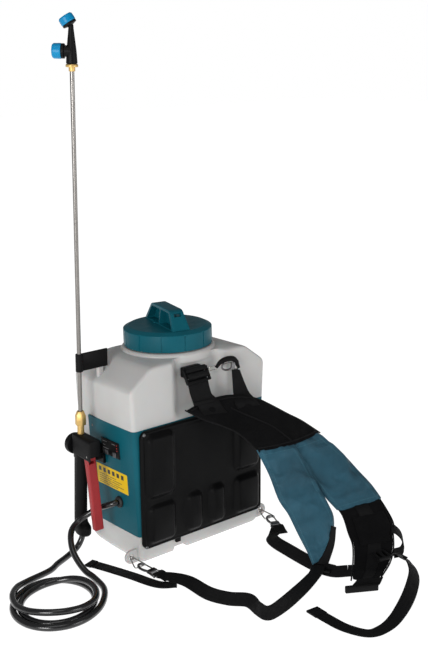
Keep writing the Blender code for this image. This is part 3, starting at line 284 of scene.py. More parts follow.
def make_materials():
    add = MATERIALS.__setitem__
    add("tank_plastic", finish("tank_moulding", (0.475, 0.47, 0.462), 0.42, grain=(700, 0.16),
                               mottle=(9, 0.05), subsurface=0.15))
    add("teal_plastic", finish("teal_moulding", (0.003, 0.084, 0.114), 0.4, grain=(1500, 0.1), worn=0.35,
                               specular=0.12))
    add("black_plastic", finish("black_moulding", (0.0045, 0.0045, 0.0048), 0.42, grain=(1800, 0.1),
                                worn=0.3, specular=0.1))
    add("grip_plastic", finish("grip_moulding", (0.0045, 0.0045, 0.0048), 0.5, grain=(900, 0.22), worn=0.25,
                               specular=0.1))
    add("red_plastic", finish("red_moulding", (0.3, 0.02, 0.024), 0.36, grain=(1600, 0.08), worn=0.25,
                              specular=0.25))
    add("blue_plastic", finish("blue_moulding", (0.0, 0.205, 0.42), 0.33, grain=(1600, 0.06), specular=0.25))
    add("grey_plastic", finish("grey_moulding", (0.075, 0.075, 0.08), 0.45, grain=(1500, 0.12)))
    add("rubber", finish("black_rubber", (0.008, 0.008, 0.008), 0.6, grain=(1100, 0.2)))
    add("hose_rubber", finish("hose_skin", (0.007, 0.007, 0.008), 0.24, grain=(1500, 0.05), mottle=(40, 0.3),
                              coat=0.3))
    add("pad_foam", finish("moulded_foam", (0.0035, 0.0035, 0.0037), 0.36, grain=(1300, 0.22),
                           mottle=(30, 0.15), specular=0.07))
    add("pad_fabric", finish("pad_cloth", (0.004, 0.004, 0.0044), 0.7, weave="cloth", sheen=0.015,
                             grain=(500, 0.3), mottle=(22, 0.2), specular=0.06))
    add("cover_fabric", finish("cover_cloth", (0.015, 0.08, 0.122), 0.44, weave="cloth", sheen=0.03,
                               grain=(420, 0.35), mottle=(16, 0.26), specular=0.4))
    add("webbing", finish("strap_weave", (0.0055, 0.0055, 0.006), 0.6, weave="webbing", sheen=0.01,
                          grain=(900, 0.25), specular=0.13))
    add("brass", finish("brass_turned", (0.6, 0.4, 0.14), 0.42, 0.7, grain=(900, 0.05), mottle=(60, 0.18),
                        brushed=True))
    add("steel", finish("steel_drawn", (0.5, 0.49, 0.47), 0.24, 1.0, grain=(900, 0.05), mottle=(50, 0.1),
                        brushed=True))
    add("lance_steel", finish("steel_lance", (0.24, 0.228, 0.216), 0.3, 1.0, grain=(900, 0.03),
                              mottle=(50, 0.06)))
    add("dark_steel", finish("steel_blackened", (0.16, 0.16, 0.165), 0.3, 1.0, grain=(1200, 0.08),
                             mottle=(90, 0.25)))
    add("circuit_board", finish("board_lacquer", (0.02, 0.12, 0.05), 0.45, grain=(800, 0.1)))
    add("teal_thread", finish("sewing_thread_teal", (0.06, 0.21, 0.27), 0.7, grain=(3000, 0.2), sheen=0.2))
    add("label", finish("label_yellow", (0.72, 0.47, 0.006), 0.38, grain=(400, 0.04), mottle=(25, 0.04),
                        specular=0.2))
    add("print", finish("label_print", (0.018, 0.016, 0.014), 0.45, grain=(600, 0.05)))
    add("lamp", finish("lamp_red", (0.45, 0.03, 0.03), 0.3, grain=(900, 0.05)))
    add("lamp_off", finish("lamp_pale", (0.32, 0.32, 0.32), 0.3, grain=(900, 0.05)))


# ---------------------------------------------------------------- shapes


def smooth_path(points, count):
    """Points evenly spread along a Catmull-Rom curve through the given ones."""
    points = [Vector(p) for p in points]
    padded = [2 * points[0] - points[1], *points, 2 * points[-1] - points[-2]]
    fine = []
    for a, b, c, d in zip(padded, padded[1:], padded[2:], padded[3:]):
        for step in range(24):
            t = step / 24
            bend = 2 * a - 5 * b + 4 * c - d
            twist = 3 * b - a - 3 * c + d
            fine.append(0.5 * (2 * b + (c - a) * t + bend * t**2 + twist * t**3))
    fine.append(points[-1])
    lengths = [0.0]
    for a, b in zip(fine, fine[1:]):
        lengths.append(lengths[-1] + (b - a).length)
    result = []
    k = 0
    for i in range(count):
        target = lengths[-1] * i / (count - 1)
        while k < len(fine) - 2 and lengths[k + 1] < target:
            k += 1
        part = (target - lengths[k]) / max(lengths[k + 1] - lengths[k], 1e-9)
        result.append(fine[k].lerp(fine[k + 1], part))
    return result


def path_length(points):
    return sum((b - a).length for a, b in zip(points, points[1:]))


def tangents(points):
    ends = zip([points[0], *points[:-1]], [*points[1:], points[-1]])
    return [(after - before).normalized() for before, after in ends]


def spread(values, count):
    """Numbers or directions blended evenly over a number of points."""
    result = []
    for i in range(count):
        place = i * (len(values) - 1) / (count - 1)
        k = min(int(place), len(values) - 2)
        part = place - k
        result.append(values[k] * (1 - part) + values[k + 1] * part)
    return result


def new_object(name, bm, finish_name, smooth=38):
    bmesh.ops.recalc_face_normals(bm, faces=bm.faces)
    mesh = bpy.data.meshes.new(name)
    bm.to_mesh(mesh)
    bm.free()
    if smooth:
        mesh.shade_smooth()
        mesh.set_sharp_from_angle(angle=math.radians(smooth))
    if finish_name:
        mesh.materials.append(MATERIALS[finish_name])
    obj = bpy.data.objects.new(name, mesh)
    bpy.context.scene.collection.objects.link(obj)
    return obj


def loft(name, rings, finish_name, smooth=38, closed=False):
    """A skin over rings of points, with its UV map in metres round and along the rings."""
    bm = bmesh.new()
    layer = bm.loops.layers.uv.new("UVMap")
    grid = [[bm.verts.new(p) for p in ring] for ring in rings]
    count = len(rings[0])
    along = [0.0]
    for low, high in zip(rings, rings[1:]):
        along.append(along[-1] + (Vector(high[0]) - Vector(low[0])).length)
    pairs = list(zip(range(len(rings) - 1), range(1, len(rings))))
    if closed:
        pairs.append((len(rings) - 1, 0))
        along.append(along[-1])
    for i, j in pairs:
        around = 0.0
        for k in range(count):
            m = (k + 1) % count
            step = (Vector(rings[i][m]) - Vector(rings[i][k])).length
            face = bm.faces.new((grid[i][k], grid[i][m], grid[j][m], grid[j][k]))
            corners = ((around, along[i]), (around + step, along[i]))
            corners += ((around + step, along[j]), (around, along[j]))
            for loop, uv in zip(face.loops, corners):
                loop[layer].uv = uv
            around += step
    if not closed:
        bm.faces.new(reversed(grid[0]))
        bm.faces.new(grid[-1])
    return new_object(name, bm, finish_name, smooth)


def circle(centre, side, up, radius, count):
    angles = [2 * math.pi * i / count for i in range(count)]
    return [centre + radius * (math.cos(a) * side + math.sin(a) * up) for a in angles]


def tube(name, points, radius, finish_name, count=16, closed=False):
    """A round bar along a path; its radius is one number, or one for each point."""
    points = [Vector(p) for p in points]
    radii = [radius] * len(points) if isinstance(radius, float) else radius
    across = None
    rings = []
    along_all = tangents(points)
    if closed:
        count_all = len(points)
        along_all = [(points[(i + 1) % count_all] - points[i - 1]).normalized() for i in range(count_all)]
    for point, along, r in zip(points, along_all, radii):
        across = along.orthogonal() if across is None else across - along * across.dot(along)
        across.normalize()
        rings.append(circle(point, across, along.cross(across), r, count))
    return loft(name, rings, finish_name, closed=closed)


def lathe(name, profile, finish_name, place=None, count=96, smooth=35):
    """A turned shape from a profile of (radius, height), closed on itself or at the axis."""
    bm = bmesh.new()
    place = place or Matrix.Identity(4)
    angles = [2 * math.pi * i / count for i in range(count)]
    rows = []
    for radius, z in profile:
        if radius < 1e-6:
            rows.append([bm.verts.new(place @ Vector((0, 0, z)))] * count)
        else:
            spots = [Vector((radius * math.cos(a), radius * math.sin(a), z)) for a in angles]
            rows.append([bm.verts.new(place @ spot) for spot in spots])
    pairs = list(zip(rows, rows[1:]))
    if profile[0][0] > 1e-6:
        pairs.append((rows[-1], rows[0]))
    for low, high in pairs:
        for i in range(count):
            j = (i + 1) % count
            corners = list(dict.fromkeys((low[i], low[j], high[j], high[i])))
            if len(corners) > 2:
                bm.faces.new(corners)
    return new_object(name, bm, finish_name, smooth)


def softened(profile, radius, steps=4):
    """A profile with each inner corner turned into a small round."""
    points = [Vector((x, y)) for x, y in profile]
    result = [tuple(points[0])]
    for before, corner, after in zip(points, points[1:], points[2:]):
        cut = min(radius, 0.45 * (corner - before).length, 0.45 * (after - corner).length)
        start = corner + (before - corner).normalized() * cut
        end = corner + (after - corner).normalized() * cut
        for i in range(steps + 1):
            t = i / steps
            result.append(tuple((1 - t) ** 2 * start + 2 * t * (1 - t) * corner + t**2 * end))
    result.append(tuple(points[-1]))
    return result


def block(name, low, high, finish_name, place=None, bevel=0.0, segments=3):
    """A box with rounded edges."""
    bm = bmesh.new()
    bmesh.ops.create_cube(bm, size=1.0)
    low, high = Vector(low), Vector(high)
    bmesh.ops.scale(bm, vec=high - low, verts=bm.verts)
    bmesh.ops.translate(bm, vec=(low + high) / 2, verts=bm.verts)
    if bevel:
        bmesh.ops.bevel(bm, geom=bm.edges[:], offset=bevel, segments=segments, profile=0.5, affect="EDGES")
    if place is not None:
        bm.transform(place)
    return new_object(name, bm, finish_name, 30)


def joined(name, parts):
    """Several objects made one."""
    bm = bmesh.new()
    materials = []
    for part in parts:
        offset = len(materials)
        part.data.transform(part.matrix_world)
        start = len(bm.faces)
        bm.from_mesh(part.data)
        bm.faces.ensure_lookup_table()
        for face in bm.faces[start:]:
            face.material_index += offset
        materials += list(part.data.materials)
    mesh = bpy.data.meshes.new(name)
    bm.to_mesh(mesh)
    bm.free()
    for material in materials:
        mesh.materials.append(material)
    for part in parts:
        bpy.data.objects.remove(part, do_unlink=True)
    obj = bpy.data.objects.new(name, mesh)
    bpy.context.scene.collection.objects.link(obj)
    return obj


def apply_all(obj):
    """The object's modifiers made part of its mesh."""
    graph = bpy.context.evaluated_depsgraph_get()
    made = bpy.data.meshes.new_from_object(obj.evaluated_get(graph))
    obj.modifiers.clear()
    obj.data = made
    return obj


def combine(obj, others, operation):
    """A Boolean with each other object, which is used up."""
    for other in others:
        modifier = obj.modifiers.new("combine", "BOOLEAN")
        modifier.operation = operation
        modifier.solver = "EXACT"
        modifier.object = other
        apply_all(obj)
        bpy.data.objects.remove(other, do_unlink=True)
    return obj


def smoothed(obj, angle=35):
    obj.data.shade_smooth()
    obj.data.set_sharp_from_angle(angle=math.radians(angle))
    return obj


def body_of(node):
    return NODES[node].parent.name.split(":")[1]


def slot_of(node):
    return NODES[node].material_slots[0].material.name.split(".")[0]


def stands_for(obj, *nodes):
    """A piece that takes the place of CAD nodes, on their body."""
    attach(obj, body_of(nodes[0]))
    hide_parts(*nodes)
    return obj


def on_root(obj):
    """A piece that has no CAD node of its own, fixed to the tank and harness."""
    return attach(obj, "root")


def polished(node, width=0.0006, segments=2, angle=28):
    """The CAD node's own shape with its edges rounded, shaded smooth."""
    source = NODES[node]
    bm = bmesh.new()
    bm.from_mesh(source.data)
    bm.transform(source.matrix_world)
    bmesh.ops.remove_doubles(bm, verts=bm.verts, dist=2e-5)
    bmesh.ops.dissolve_limit(bm, angle_limit=math.radians(0.6), verts=bm.verts, edges=bm.edges)
    obj = new_object(f"{node}_moulding", bm, SLOTS[node], 40)
    if width:
        modifier = obj.modifiers.new("edges", "BEVEL")
        modifier.width = width
        modifier.segments = segments
        modifier.limit_method = "ANGLE"
        modifier.angle_limit = math.radians(angle)
        modifier.harden_normals = True
        apply_all(obj)
    return stands_for(obj, node)


def wall_place(side, y, z, stand=0.0):
    """A frame on the outside of a side wall: Z out of it, X along the wall's width, Y up it."""
    slope = math.atan(SIDE_DRAFT)
    out = Vector((side * math.cos(slope), 0, -math.sin(slope)))
    up = Vector((side * math.sin(slope), 0, math.cos(slope)))
    across = up.cross(out)
    origin = Vector((side * half_width(z), y, z)) + out * stand
    turn = Matrix((across, up, out)).transposed()
    return Matrix.Translation(origin) @ turn.to_4x4()


def screw_head(name, place, radius, finish_name, body):
    """A pan head with a cross recess, its top along the frame's Z."""
    pan = [(0, 0.55 * radius), (0.75 * radius, 0.5 * radius), (radius, 0.1 * radius), (radius, -0.3 * radius)]
    profile = softened(pan, 0.2 * radius)
    profile.append((0.0, -0.3 * radius))
    head = lathe(name, profile, finish_name, place, 32)
    arms = [(1.1 * radius, 0.2 * radius), (0.2 * radius, 1.1 * radius)]
    cutters = []
    for i, (x, y) in enumerate(arms):
        low, high = (-x / 2, -y / 2, 0.15 * radius), (x / 2, y / 2, radius)
        cutters.append(block(f"{name}_cross_{i}", low, high, None, place))
    combine(head, cutters, "DIFFERENCE")
    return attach(smoothed(head), body)


# ---------------------------------------------------------------- sizes shared with the part

HALF_WIDTH = 0.1514
FRONT = 0.0919
REAR = 0.11
SIDE_DRAFT = 0.042
FRONT_DRAFT = 0.026
WALL = 0.003
SHOULDER_Z = 0.348
TOP_Z = 0.385
TOP_HALF_WIDTH = 0.118
BAY_BOTTOM = 0.0547
BAY_TOP = 0.2704
HOUSING_REAR = 0.052
RECESS_HALF = 0.066
RECESS_DEPTH = 0.014
GAP = 0.0003
PAD_STAND = 0.0006
NECK_RADIUS = 0.078
NECK_BORE = 0.07
NECK_TOP = 0.4095
CAP_RADIUS = 0.0876
CAP_BOTTOM = 0.3967
CAP_SKIRT_TOP = 0.429
CAP_TOP = 0.4345
HANDLE_YAW = math.radians(-14.3)
HOSE_RADIUS = 0.006
WAND = Matrix.Translation((-0.2025, 0.0319, 0.0)) @ Matrix.Rotation(math.radians(3.27), 4, "X")
LUG_X, LUG_Y, LUG_Z = 0.166, -0.078, 0.015
WEB_THICK = 0.0022
LOWER_WEB = 0.025
SLOTS = {name: slot_of(name) for name in NODES}


def half_width(z):
    return HALF_WIDTH + SIDE_DRAFT * min(z, SHOULDER_Z)


def front(z):
    return FRONT + FRONT_DRAFT * min(z, SHOULDER_Z)


# ---------------------------------------------------------------- hose

HOSE_FROM_PUMP = [
    (-0.1645, -0.036, 0.1132), (-0.1705, -0.0348, 0.1128), (-0.1785, -0.0235, 0.1078),
    (-0.187, -0.0052, 0.0985), (-0.2025, 0.009, 0.0865), (-0.221, 0.0155, 0.075), (-0.24, 0.0095, 0.0655),
    (-0.2535, -0.006, 0.0555), (-0.262, -0.025, 0.041), (-0.264, -0.045, 0.0265), (-0.262, -0.067, 0.0135),
    (-0.258, -0.09, 0.0068),
]
HOSE_FROM_GUN = [
    (-0.2025, 0.0315, 0.0405), (-0.203, 0.032, 0.036), (-0.206, 0.0332, 0.026), (-0.218, 0.032, 0.013),
    (-0.246, 0.023, 0.0066), (-0.276, 0.009, 0.0065), (-0.305, -0.007, 0.0065),
]
COIL_CENTRE = Vector((-0.358, -0.122, 0.0))
COIL_ACROSS = Vector((0.78, -0.63, 0.0)).normalized()
COIL_DEPTH = Vector((0.63, 0.78, 0.0)).normalized()
COIL_STRETCH = 1.16
# Angle in degrees, radius and height of the hose's middle line, along nearly three turns
COIL = [
    (28, 0.0885, 0.0061), (4, 0.082, 0.0061), (-20, 0.0797, 0.0061), (-45, 0.079, 0.0061),
    (-70, 0.079, 0.0061), (-95, 0.079, 0.0061), (-120, 0.079, 0.0061), (-145, 0.079, 0.0061),
    (-170, 0.079, 0.0061), (-195, 0.0787, 0.0061), (-220, 0.0778, 0.0061), (-245, 0.076, 0.0061),
    (-270, 0.0728, 0.0061), (-295, 0.0692, 0.0061), (-320, 0.0668, 0.0061), (-345, 0.066, 0.0061),
    (-370, 0.066, 0.0061), (-395, 0.0662, 0.0061), (-420, 0.0664, 0.0061), (-445, 0.0665, 0.0061),
    (-470, 0.0665, 0.0061), (-495, 0.0664, 0.0061), (-520, 0.066, 0.0061), (-545, 0.0655, 0.0061),
    (-570, 0.0648, 0.0064), (-595, 0.064, 0.0078), (-620, 0.0628, 0.011), (-645, 0.0622, 0.0158),
    (-668, 0.064, 0.0184), (-690, 0.0665, 0.0187), (-712, 0.069, 0.0186), (-735, 0.07, 0.019),
    (-760, 0.0672, 0.0215), (-785, 0.064, 0.024), (-810, 0.0625, 0.0248), (-835, 0.064, 0.0235),
    (-858, 0.068, 0.0206), (-880, 0.0738, 0.0185), (-903, 0.0808, 0.0184), (-925, 0.0876, 0.015),
    (-945, 0.093, 0.0095),
]


def coil_point(angle, radius, z):
    angle = math.radians(angle)
    sideways = COIL_ACROSS * math.cos(angle) + COIL_DEPTH * math.sin(angle) * COIL_STRETCH
    return COIL_CENTRE + sideways * radius + Vector((0, 0, z))


def make_hose():
    """One hose from the pump's grommet, nearly three times round on the floor, and up into the gun."""
    route = [Vector(p) for p in HOSE_FROM_PUMP]
    route += [coil_point(*row) for row in COIL]
    route += [Vector(p) for p in reversed(HOSE_FROM_GUN)]
    points = smooth_path(route, 420)
    hose = tube("spray_hose", points, HOSE_RADIUS, "hose_rubber", 20)
    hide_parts("hose_from_pump", "hose_from_gun", "hose_coil")
    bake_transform(hose)


# ---------------------------------------------------------------- tank


def rounded_loop(corners, steps=6):
    """A closed plan whose corners, given with their rounding, are turned into curves of equal step count."""
    result = []
    points = [Vector(point) for point, _ in corners]
    for i, (_, radius) in enumerate(corners):
        before, corner, after = points[i - 1], points[i], points[(i + 1) % len(points)]
        cut = min(radius, 0.46 * (before - corner).length, 0.46 * (after - corner).length)
        start = corner + (before - corner).normalized() * cut
        end = corner + (after - corner).normalized() * cut
        for k in range(steps + 1):
            t = k / steps
            result.append((1 - t) ** 2 * start + 2 * t * (1 - t) * corner + t**2 * end)
    return result


LEVEL_ROUNDING = 0.0075
RECESS_SLOPE = 0.016


def tank_plan(z, width, fore, rear, pinch, rear_radius, recess, inset):
    """The tank's closed outline at one height, with the harness recess in its front."""
    width -= inset
    fore -= inset
    rear -= inset
    half = RECESS_HALF + inset
    right = [((width, -fore), 0.0095), ((width, 0.0), 0.03), ((width - pinch, rear), rear_radius * 1.15)]
    left = [((-x, y), r) for (x, y), r in reversed(right)]
    middle = [((-half, -fore), 0.006), ((-half + RECESS_SLOPE, -fore + recess), 0.006)]
    middle += [((half - RECESS_SLOPE, -fore + recess), 0.006), ((half, -fore), 0.006)]
    return [(p.x, p.y, z) for p in rounded_loop(right + left + middle)]


def tank_form(name, inset, floor):
    """The tank's outer form, or its cavity when inset, each level rounded into the next."""
    top = SHOULDER_Z
    levels = [
        ((floor, half_width(0) - 0.006, front(0) - 0.006, REAR - 0.024, 0.006, 0.02, 0.0), 0.0),
        ((floor + 0.009, half_width(0), front(0), REAR - 0.012, 0.007, 0.024, 0.0), 0.5),
        ((0.04, half_width(0.04), front(0.04), REAR - 0.004, 0.007, 0.026, 0.0), 0.3),
        ((BAY_TOP, half_width(BAY_TOP), front(BAY_TOP), REAR + 0.004, 0.007, 0.026, 0.0), 0.3),
        ((0.292, half_width(0.292), front(0.292), REAR + 0.004, 0.007, 0.026, RECESS_DEPTH), 0.35),
        ((top - inset, half_width(top), front(top), REAR + 0.0045, 0.007, 0.03, RECESS_DEPTH), 0.28),
        ((TOP_Z - inset, TOP_HALF_WIDTH, front(top) - 0.001, 0.083, 0.004, 0.034, RECESS_DEPTH), 0.3),
        ((TOP_Z + 0.0035 - inset, TOP_HALF_WIDTH - 0.022, 0.09, 0.072, 0.004, 0.034, 0.004), 0.0),
    ]
    rows = [levels[0][0]]
    for (before, _), (row, part), (after, _) in zip(levels, levels[1:], levels[2:]):
        for t in (0.0, 0.25, 0.5, 0.75, 1.0):
            mixed = []
            low_part = min(part, LEVEL_ROUNDING / max(row[0] - before[0], 1e-6))
            high_part = min(part, LEVEL_ROUNDING / max(after[0] - row[0], 1e-6))
            for a, b, c in zip(before, row, after):
                start = b + (a - b) * low_part
                end = b + (c - b) * high_part
                mixed.append((1 - t) ** 2 * start + 2 * t * (1 - t) * b + t**2 * end)
            rows.append(tuple(mixed))
    rows.append(levels[-1][0])
    return loft(name, [tank_plan(*row, inset) for row in rows], None if inset else "tank_plastic")


def bay_cutters(grow):
    low = BAY_BOTTOM - GAP - grow
    high = BAY_TOP + GAP + grow
    back = HOUSING_REAR + GAP + grow
    cutters = [block("cut_bay", (-0.3, -0.3, low), (0.3, grow, high), None)]
    for side in (-1, 1):
        span = sorted((side * (0.15 - grow), side * 0.3))
        cutters.append(block("cut_rebate", (span[0], -0.3, low), (span[1], back, high), None))
    return cutters


def make_tank():
    tank = tank_form("tank_shell", 0.0, 0.0)
    foot = block("cut_foot", (-0.071, -0.3, -0.01), (-0.036, 0.3, 0.011), None)
    combine(tank, [*bay_cutters(0.0), foot], "DIFFERENCE")
    ring = softened([(0.0, 0.375), (0.0945, 0.375), (0.0935, 0.3905), (0.089, 0.3945), (NECK_RADIUS, 0.395),
                     (NECK_RADIUS, NECK_TOP), (0.0, NECK_TOP)], 0.0025)
    neck = lathe("union_neck", ring, "tank_plastic")
    lugs = []
    for side in (-1, 1):
        place = Matrix.Translation((side * LUG_X, LUG_Y + 0.003, LUG_Z))
        place = place @ Matrix.Rotation(math.pi / 2, 4, "X")
        profile = softened([(0, 0), (0.0135, 0), (0.0135, 0.006), (0, 0.006)], 0.0015)
        lugs.append(lathe(f"union_lug_{side}", profile, "tank_plastic", place, 48))
        span = sorted((side * 0.146, side * LUG_X))
        low, high = (span[0], LUG_Y - 0.003, 0.0015), (span[1], LUG_Y + 0.003, 0.0285)
        lugs.append(block(f"union_web_{side}", low, high, "tank_plastic", None, 0.0012))
    post = block("union_post", (-0.1575, 0.0136, 0.345), (-0.1455, 0.0225, 0.3925), "tank_plastic", None,
                 0.002)
    combine(tank, [neck, *lugs, post], "UNION")
    cavity = tank_form("cut_cavity", WALL, 0.004)
    keep = block("cut_keep", (-0.075, -0.3, 0.0), (-0.032, 0.3, 0.014), None)
    combine(cavity, [*bay_cutters(WALL), keep], "DIFFERENCE")
    bore = lathe("cut_bore", [(0.0, 0.36), (NECK_BORE, 0.36), (NECK_BORE, 0.45), (0.0, 0.45)], None)
    holes = []
    for side in (-1, 1):
        place = Matrix.Translation((side * LUG_X, LUG_Y, LUG_Z)) @ Matrix.Rotation(math.pi / 2, 4, "X")
        holes.append(lathe(f"cut_hole_{side}", [(0, -0.01), (0.006, -0.01), (0.006, 0.01), (0, 0.01)], None,
                           place, 32))
    combine(tank, [cavity, bore, *holes], "DIFFERENCE")
    stands_for(smoothed(tank, 30), "tank")


# ---------------------------------------------------------------- filler cap


def make_cap():
    """Screw cap: a grooved skirt, a flat top with two nubs, and its bridge handle."""
    skirt = [(0.0, 0.4312), (0.068, 0.4312), (0.068, 0.4145), (0.08, 0.4145), (0.08, CAP_BOTTOM + 0.003),
             (0.0825, CAP_BOTTOM), (CAP_RADIUS, CAP_BOTTOM), (CAP_RADIUS, CAP_SKIRT_TOP),
             (0.0765, CAP_TOP), (0.0, CAP_TOP)]
    cap = lathe("filler_cap", softened(skirt, 0.0012), "teal_plastic", None, 144, 40)
    cutters = []
    middle = (CAP_BOTTOM + CAP_SKIRT_TOP) / 2
    for i in range(12):
        place = Matrix.Rotation(2 * math.pi * (i + 0.5) / 12, 4, "Z")
        place = place @ Matrix.Translation((CAP_RADIUS, 0, middle))
        cutters.append(block(f"cut_groove_{i}", (-0.0011, -0.0012, -0.02), (0.0011, 0.0012, 0.02), None,
                             place))
    combine(cap, [joined("cut_grooves", cutters)], "DIFFERENCE")
    handle_turn = Matrix.Rotation(HANDLE_YAW, 4, "Z")
    corners = (((-0.072, 0.433), 0.0), ((-0.047, 0.47), 0.01), ((0.047, 0.47), 0.01), ((0.072, 0.433), 0.0))
    outline = []
    for place in rounded_loop(corners, 6):
        if not outline or (place - outline[-1]).length > 1e-5:
            outline.append(place)
    rings = []
    for side in (-1, 1):
        ring = []
        for place in outline:
            foot = max(0.0, 1 - (place.y - 0.433) / 0.0065) ** 2
            ring.append((side * (0.014 + 0.0045 * foot), place.x, place.y))
        rings.append(ring)
    handle = loft("union_handle", rings, "teal_plastic")
    edges = handle.modifiers.new("edges", "BEVEL")
    edges.width = 0.0011
    edges.segments = 3
    edges.limit_method = "ANGLE"
    edges.angle_limit = math.radians(50)
    apply_all(handle)
    handle.data.transform(handle_turn)
    pockets = []
    for side in (-1, 1):
        for facing in (-1, 1):
            view = rounded_loop([((0.0016, 0.4357), 0.003), ((0.062, 0.4357), 0.003),
                                 ((0.041, 0.4645), 0.004), ((0.0016, 0.4645), 0.003)], 4)
            faces = [[(side * x, facing * p.x, p.y) for p in view] for x in (0.0016, 0.03)]
            pocket = loft("cut_pocket", faces, None)
            pocket.data.transform(handle_turn)
            pockets.append(pocket)
    notch = block("cut_notch", (-0.0075, -0.06, 0.458), (0.0075, -0.044, 0.4645), None, handle_turn)
    combine(handle, [*pockets, notch], "DIFFERENCE")
    nubs = []
    for x, y in ((-0.005, 0.042), (-0.014, 0.022)):
        place = Matrix.Translation((x, y, 0.433))
        nubs.append(lathe("union_nub", softened([(0, 0), (0.003, 0), (0.003, 0.0032), (0, 0.0032)], 0.0008),
                          "teal_plastic", place, 24))
    combine(cap, [handle, *nubs], "UNION")
    stands_for(smoothed(cap, 32), "tank_cap")


# ---------------------------------------------------------------- back pad

PAD_HALF = 0.15
PAD_LOW, PAD_HIGH = 0.03, 0.269
PAD_CORNER = 0.014
PAD_MIDDLE = 0.1495
PAD_HALF_HEIGHT = 0.1195
PAD_FRAME_Z = 0.15
CUSHIONS = [
    (-0.142, -0.074, 0.131, 0.262), (0.074, 0.142, 0.131, 0.262), (-0.142, -0.074, 0.037, 0.121),
    (-0.05, -0.008, 0.037, 0.121), (0.008, 0.05, 0.037, 0.121), (0.074, 0.142, 0.037, 0.121),
]


def smooth_step(value):
    value = min(1.0, max(0.0, value))
    return value * value * (3 - 2 * value)


def pad_height(x, z):
    """How far the moulded pad stands from the housing at a point of its face."""
    edge = min(PAD_HALF - abs(x), z - PAD_LOW, PAD_HIGH - z)
    height = 0.005 + 0.0036 * math.sqrt(max(0.0, 1 - (1 - min(edge, 0.004) / 0.004) ** 2))
    height -= 0.001 * math.exp(-(((edge - 0.0062) / 0.0011) ** 2))
    for x0, x1, z0, z1 in CUSHIONS:
        radius = 0.015
        dx = max(x0 + radius - x, x - x1 + radius, 0.0)
        dz = max(z0 + radius - z, z - z1 + radius, 0.0)
        inside = radius - math.hypot(dx, dz) if dx or dz else min(x - x0, x1 - x, z - z0, z1 - z)
        if inside <= -0.002:
            continue
        rise = smooth_step((inside + 0.0015) / 0.012)
        middle_x, middle_z = (x0 + x1) / 2, (z0 + z1) / 2
        crown = (1 - ((x - middle_x) / (x1 - x0) * 2) ** 2) * (1 - ((z - middle_z) / (z1 - z0) * 2) ** 2)
        height += 0.0078 * rise + 0.0034 * max(0.0, crown) * rise
    return height


def pad_place():
    """The moulded pad's own frame: X across it, Z up it, and its back against the housing."""
    lean = math.atan(FRONT_DRAFT)
    place = Matrix.Translation((0, -front(PAD_FRAME_Z) - GAP - PAD_STAND, PAD_FRAME_Z))
    return place @ Matrix.Rotation(lean, 4, "X")


def make_back_pad():
    step = 0.0021
    columns = round(2 * PAD_HALF / step)
    rows = round((PAD_HIGH - PAD_LOW) / step)
    place = pad_place()
    bm = bmesh.new()
    faces = []
    for back in (False, True):
        grid = []
        for j in range(rows + 1):
            line = []
            for i in range(columns + 1):
                x = -PAD_HALF + 2 * PAD_HALF * i / columns
                z = PAD_LOW + (PAD_HIGH - PAD_LOW) * j / rows
                height = 0.0 if back else pad_height(x, z)
                a = (abs(x) - PAD_HALF + PAD_CORNER) / PAD_CORNER
                b = (abs(z - PAD_MIDDLE) - PAD_HALF_HEIGHT + PAD_CORNER) / PAD_CORNER
                if a > 0 and b > 0:
                    x = math.copysign(PAD_HALF - PAD_CORNER + PAD_CORNER * a * math.sqrt(1 - b * b / 2), x)
                    rise = PAD_CORNER * b * math.sqrt(1 - a * a / 2)
                    z = PAD_MIDDLE + math.copysign(PAD_HALF_HEIGHT - PAD_CORNER + rise, z - PAD_MIDDLE)
                line.append(bm.verts.new(place @ Vector((x, -height, z - PAD_FRAME_Z))))
            grid.append(line)
        faces.append(grid)
    for grid in faces:
        for low, high in zip(grid, grid[1:]):
            for i in range(columns):
                bm.faces.new((low[i], low[i + 1], high[i + 1], high[i]))
    rims = []
    for grid in faces:
        rim = grid[0][:-1] + [line[-1] for line in grid[:-1]]
        rim += grid[-1][:0:-1] + [line[0] for line in grid[:0:-1]]
        rims.append(rim)
    for i in range(len(rims[0])):
        j = (i + 1) % len(rims[0])
        bm.faces.new((rims[0][i], rims[0][j], rims[1][j], rims[1][i]))
    pad = new_object("back_cushion", bm, "pad_foam", 60)
    stands_for(pad, "back_pad")
    tab = block("back_cushion_tab", (-0.072, -0.0065, -0.128), (-0.06, -0.001, -0.114), "pad_foam", place,
                0.0015)
    on_root(tab)
    for i, (x, z) in enumerate(((-0.144, 0.2635), (0.144, 0.2635), (-0.144, 0.0355), (0.144, 0.0355))):
        spot = place @ Matrix.Translation((x, -0.008, z - PAD_FRAME_Z))
        spot = spot @ Matrix.Rotation(math.pi / 2, 4, "X")
        screw_head(f"back_pad_screw_{i + 1}", spot, 0.0034, "dark_steel", "root")


# ---------------------------------------------------------------- straps


def strap(name, route, count, rolls, width=LOWER_WEB, finish_name="webbing", thick=WEB_THICK):
    """Woven webbing: a flat band whose width stays level but for a roll about its length, in degrees."""
    points = smooth_path(route, count)
    lefts, rights = [], []
    for point, along, roll in zip(points, tangents(points), spread(rolls, count)):
        level = along.cross(Vector((0, 0, 1))).normalized()
        angle = math.radians(roll)
        half = (level * math.cos(angle) + level.cross(along) * math.sin(angle)) * width / 2
        lefts.append(point - half)
        rights.append(point + half)
    return ribbon(name, lefts, rights, count, finish_name, thick)


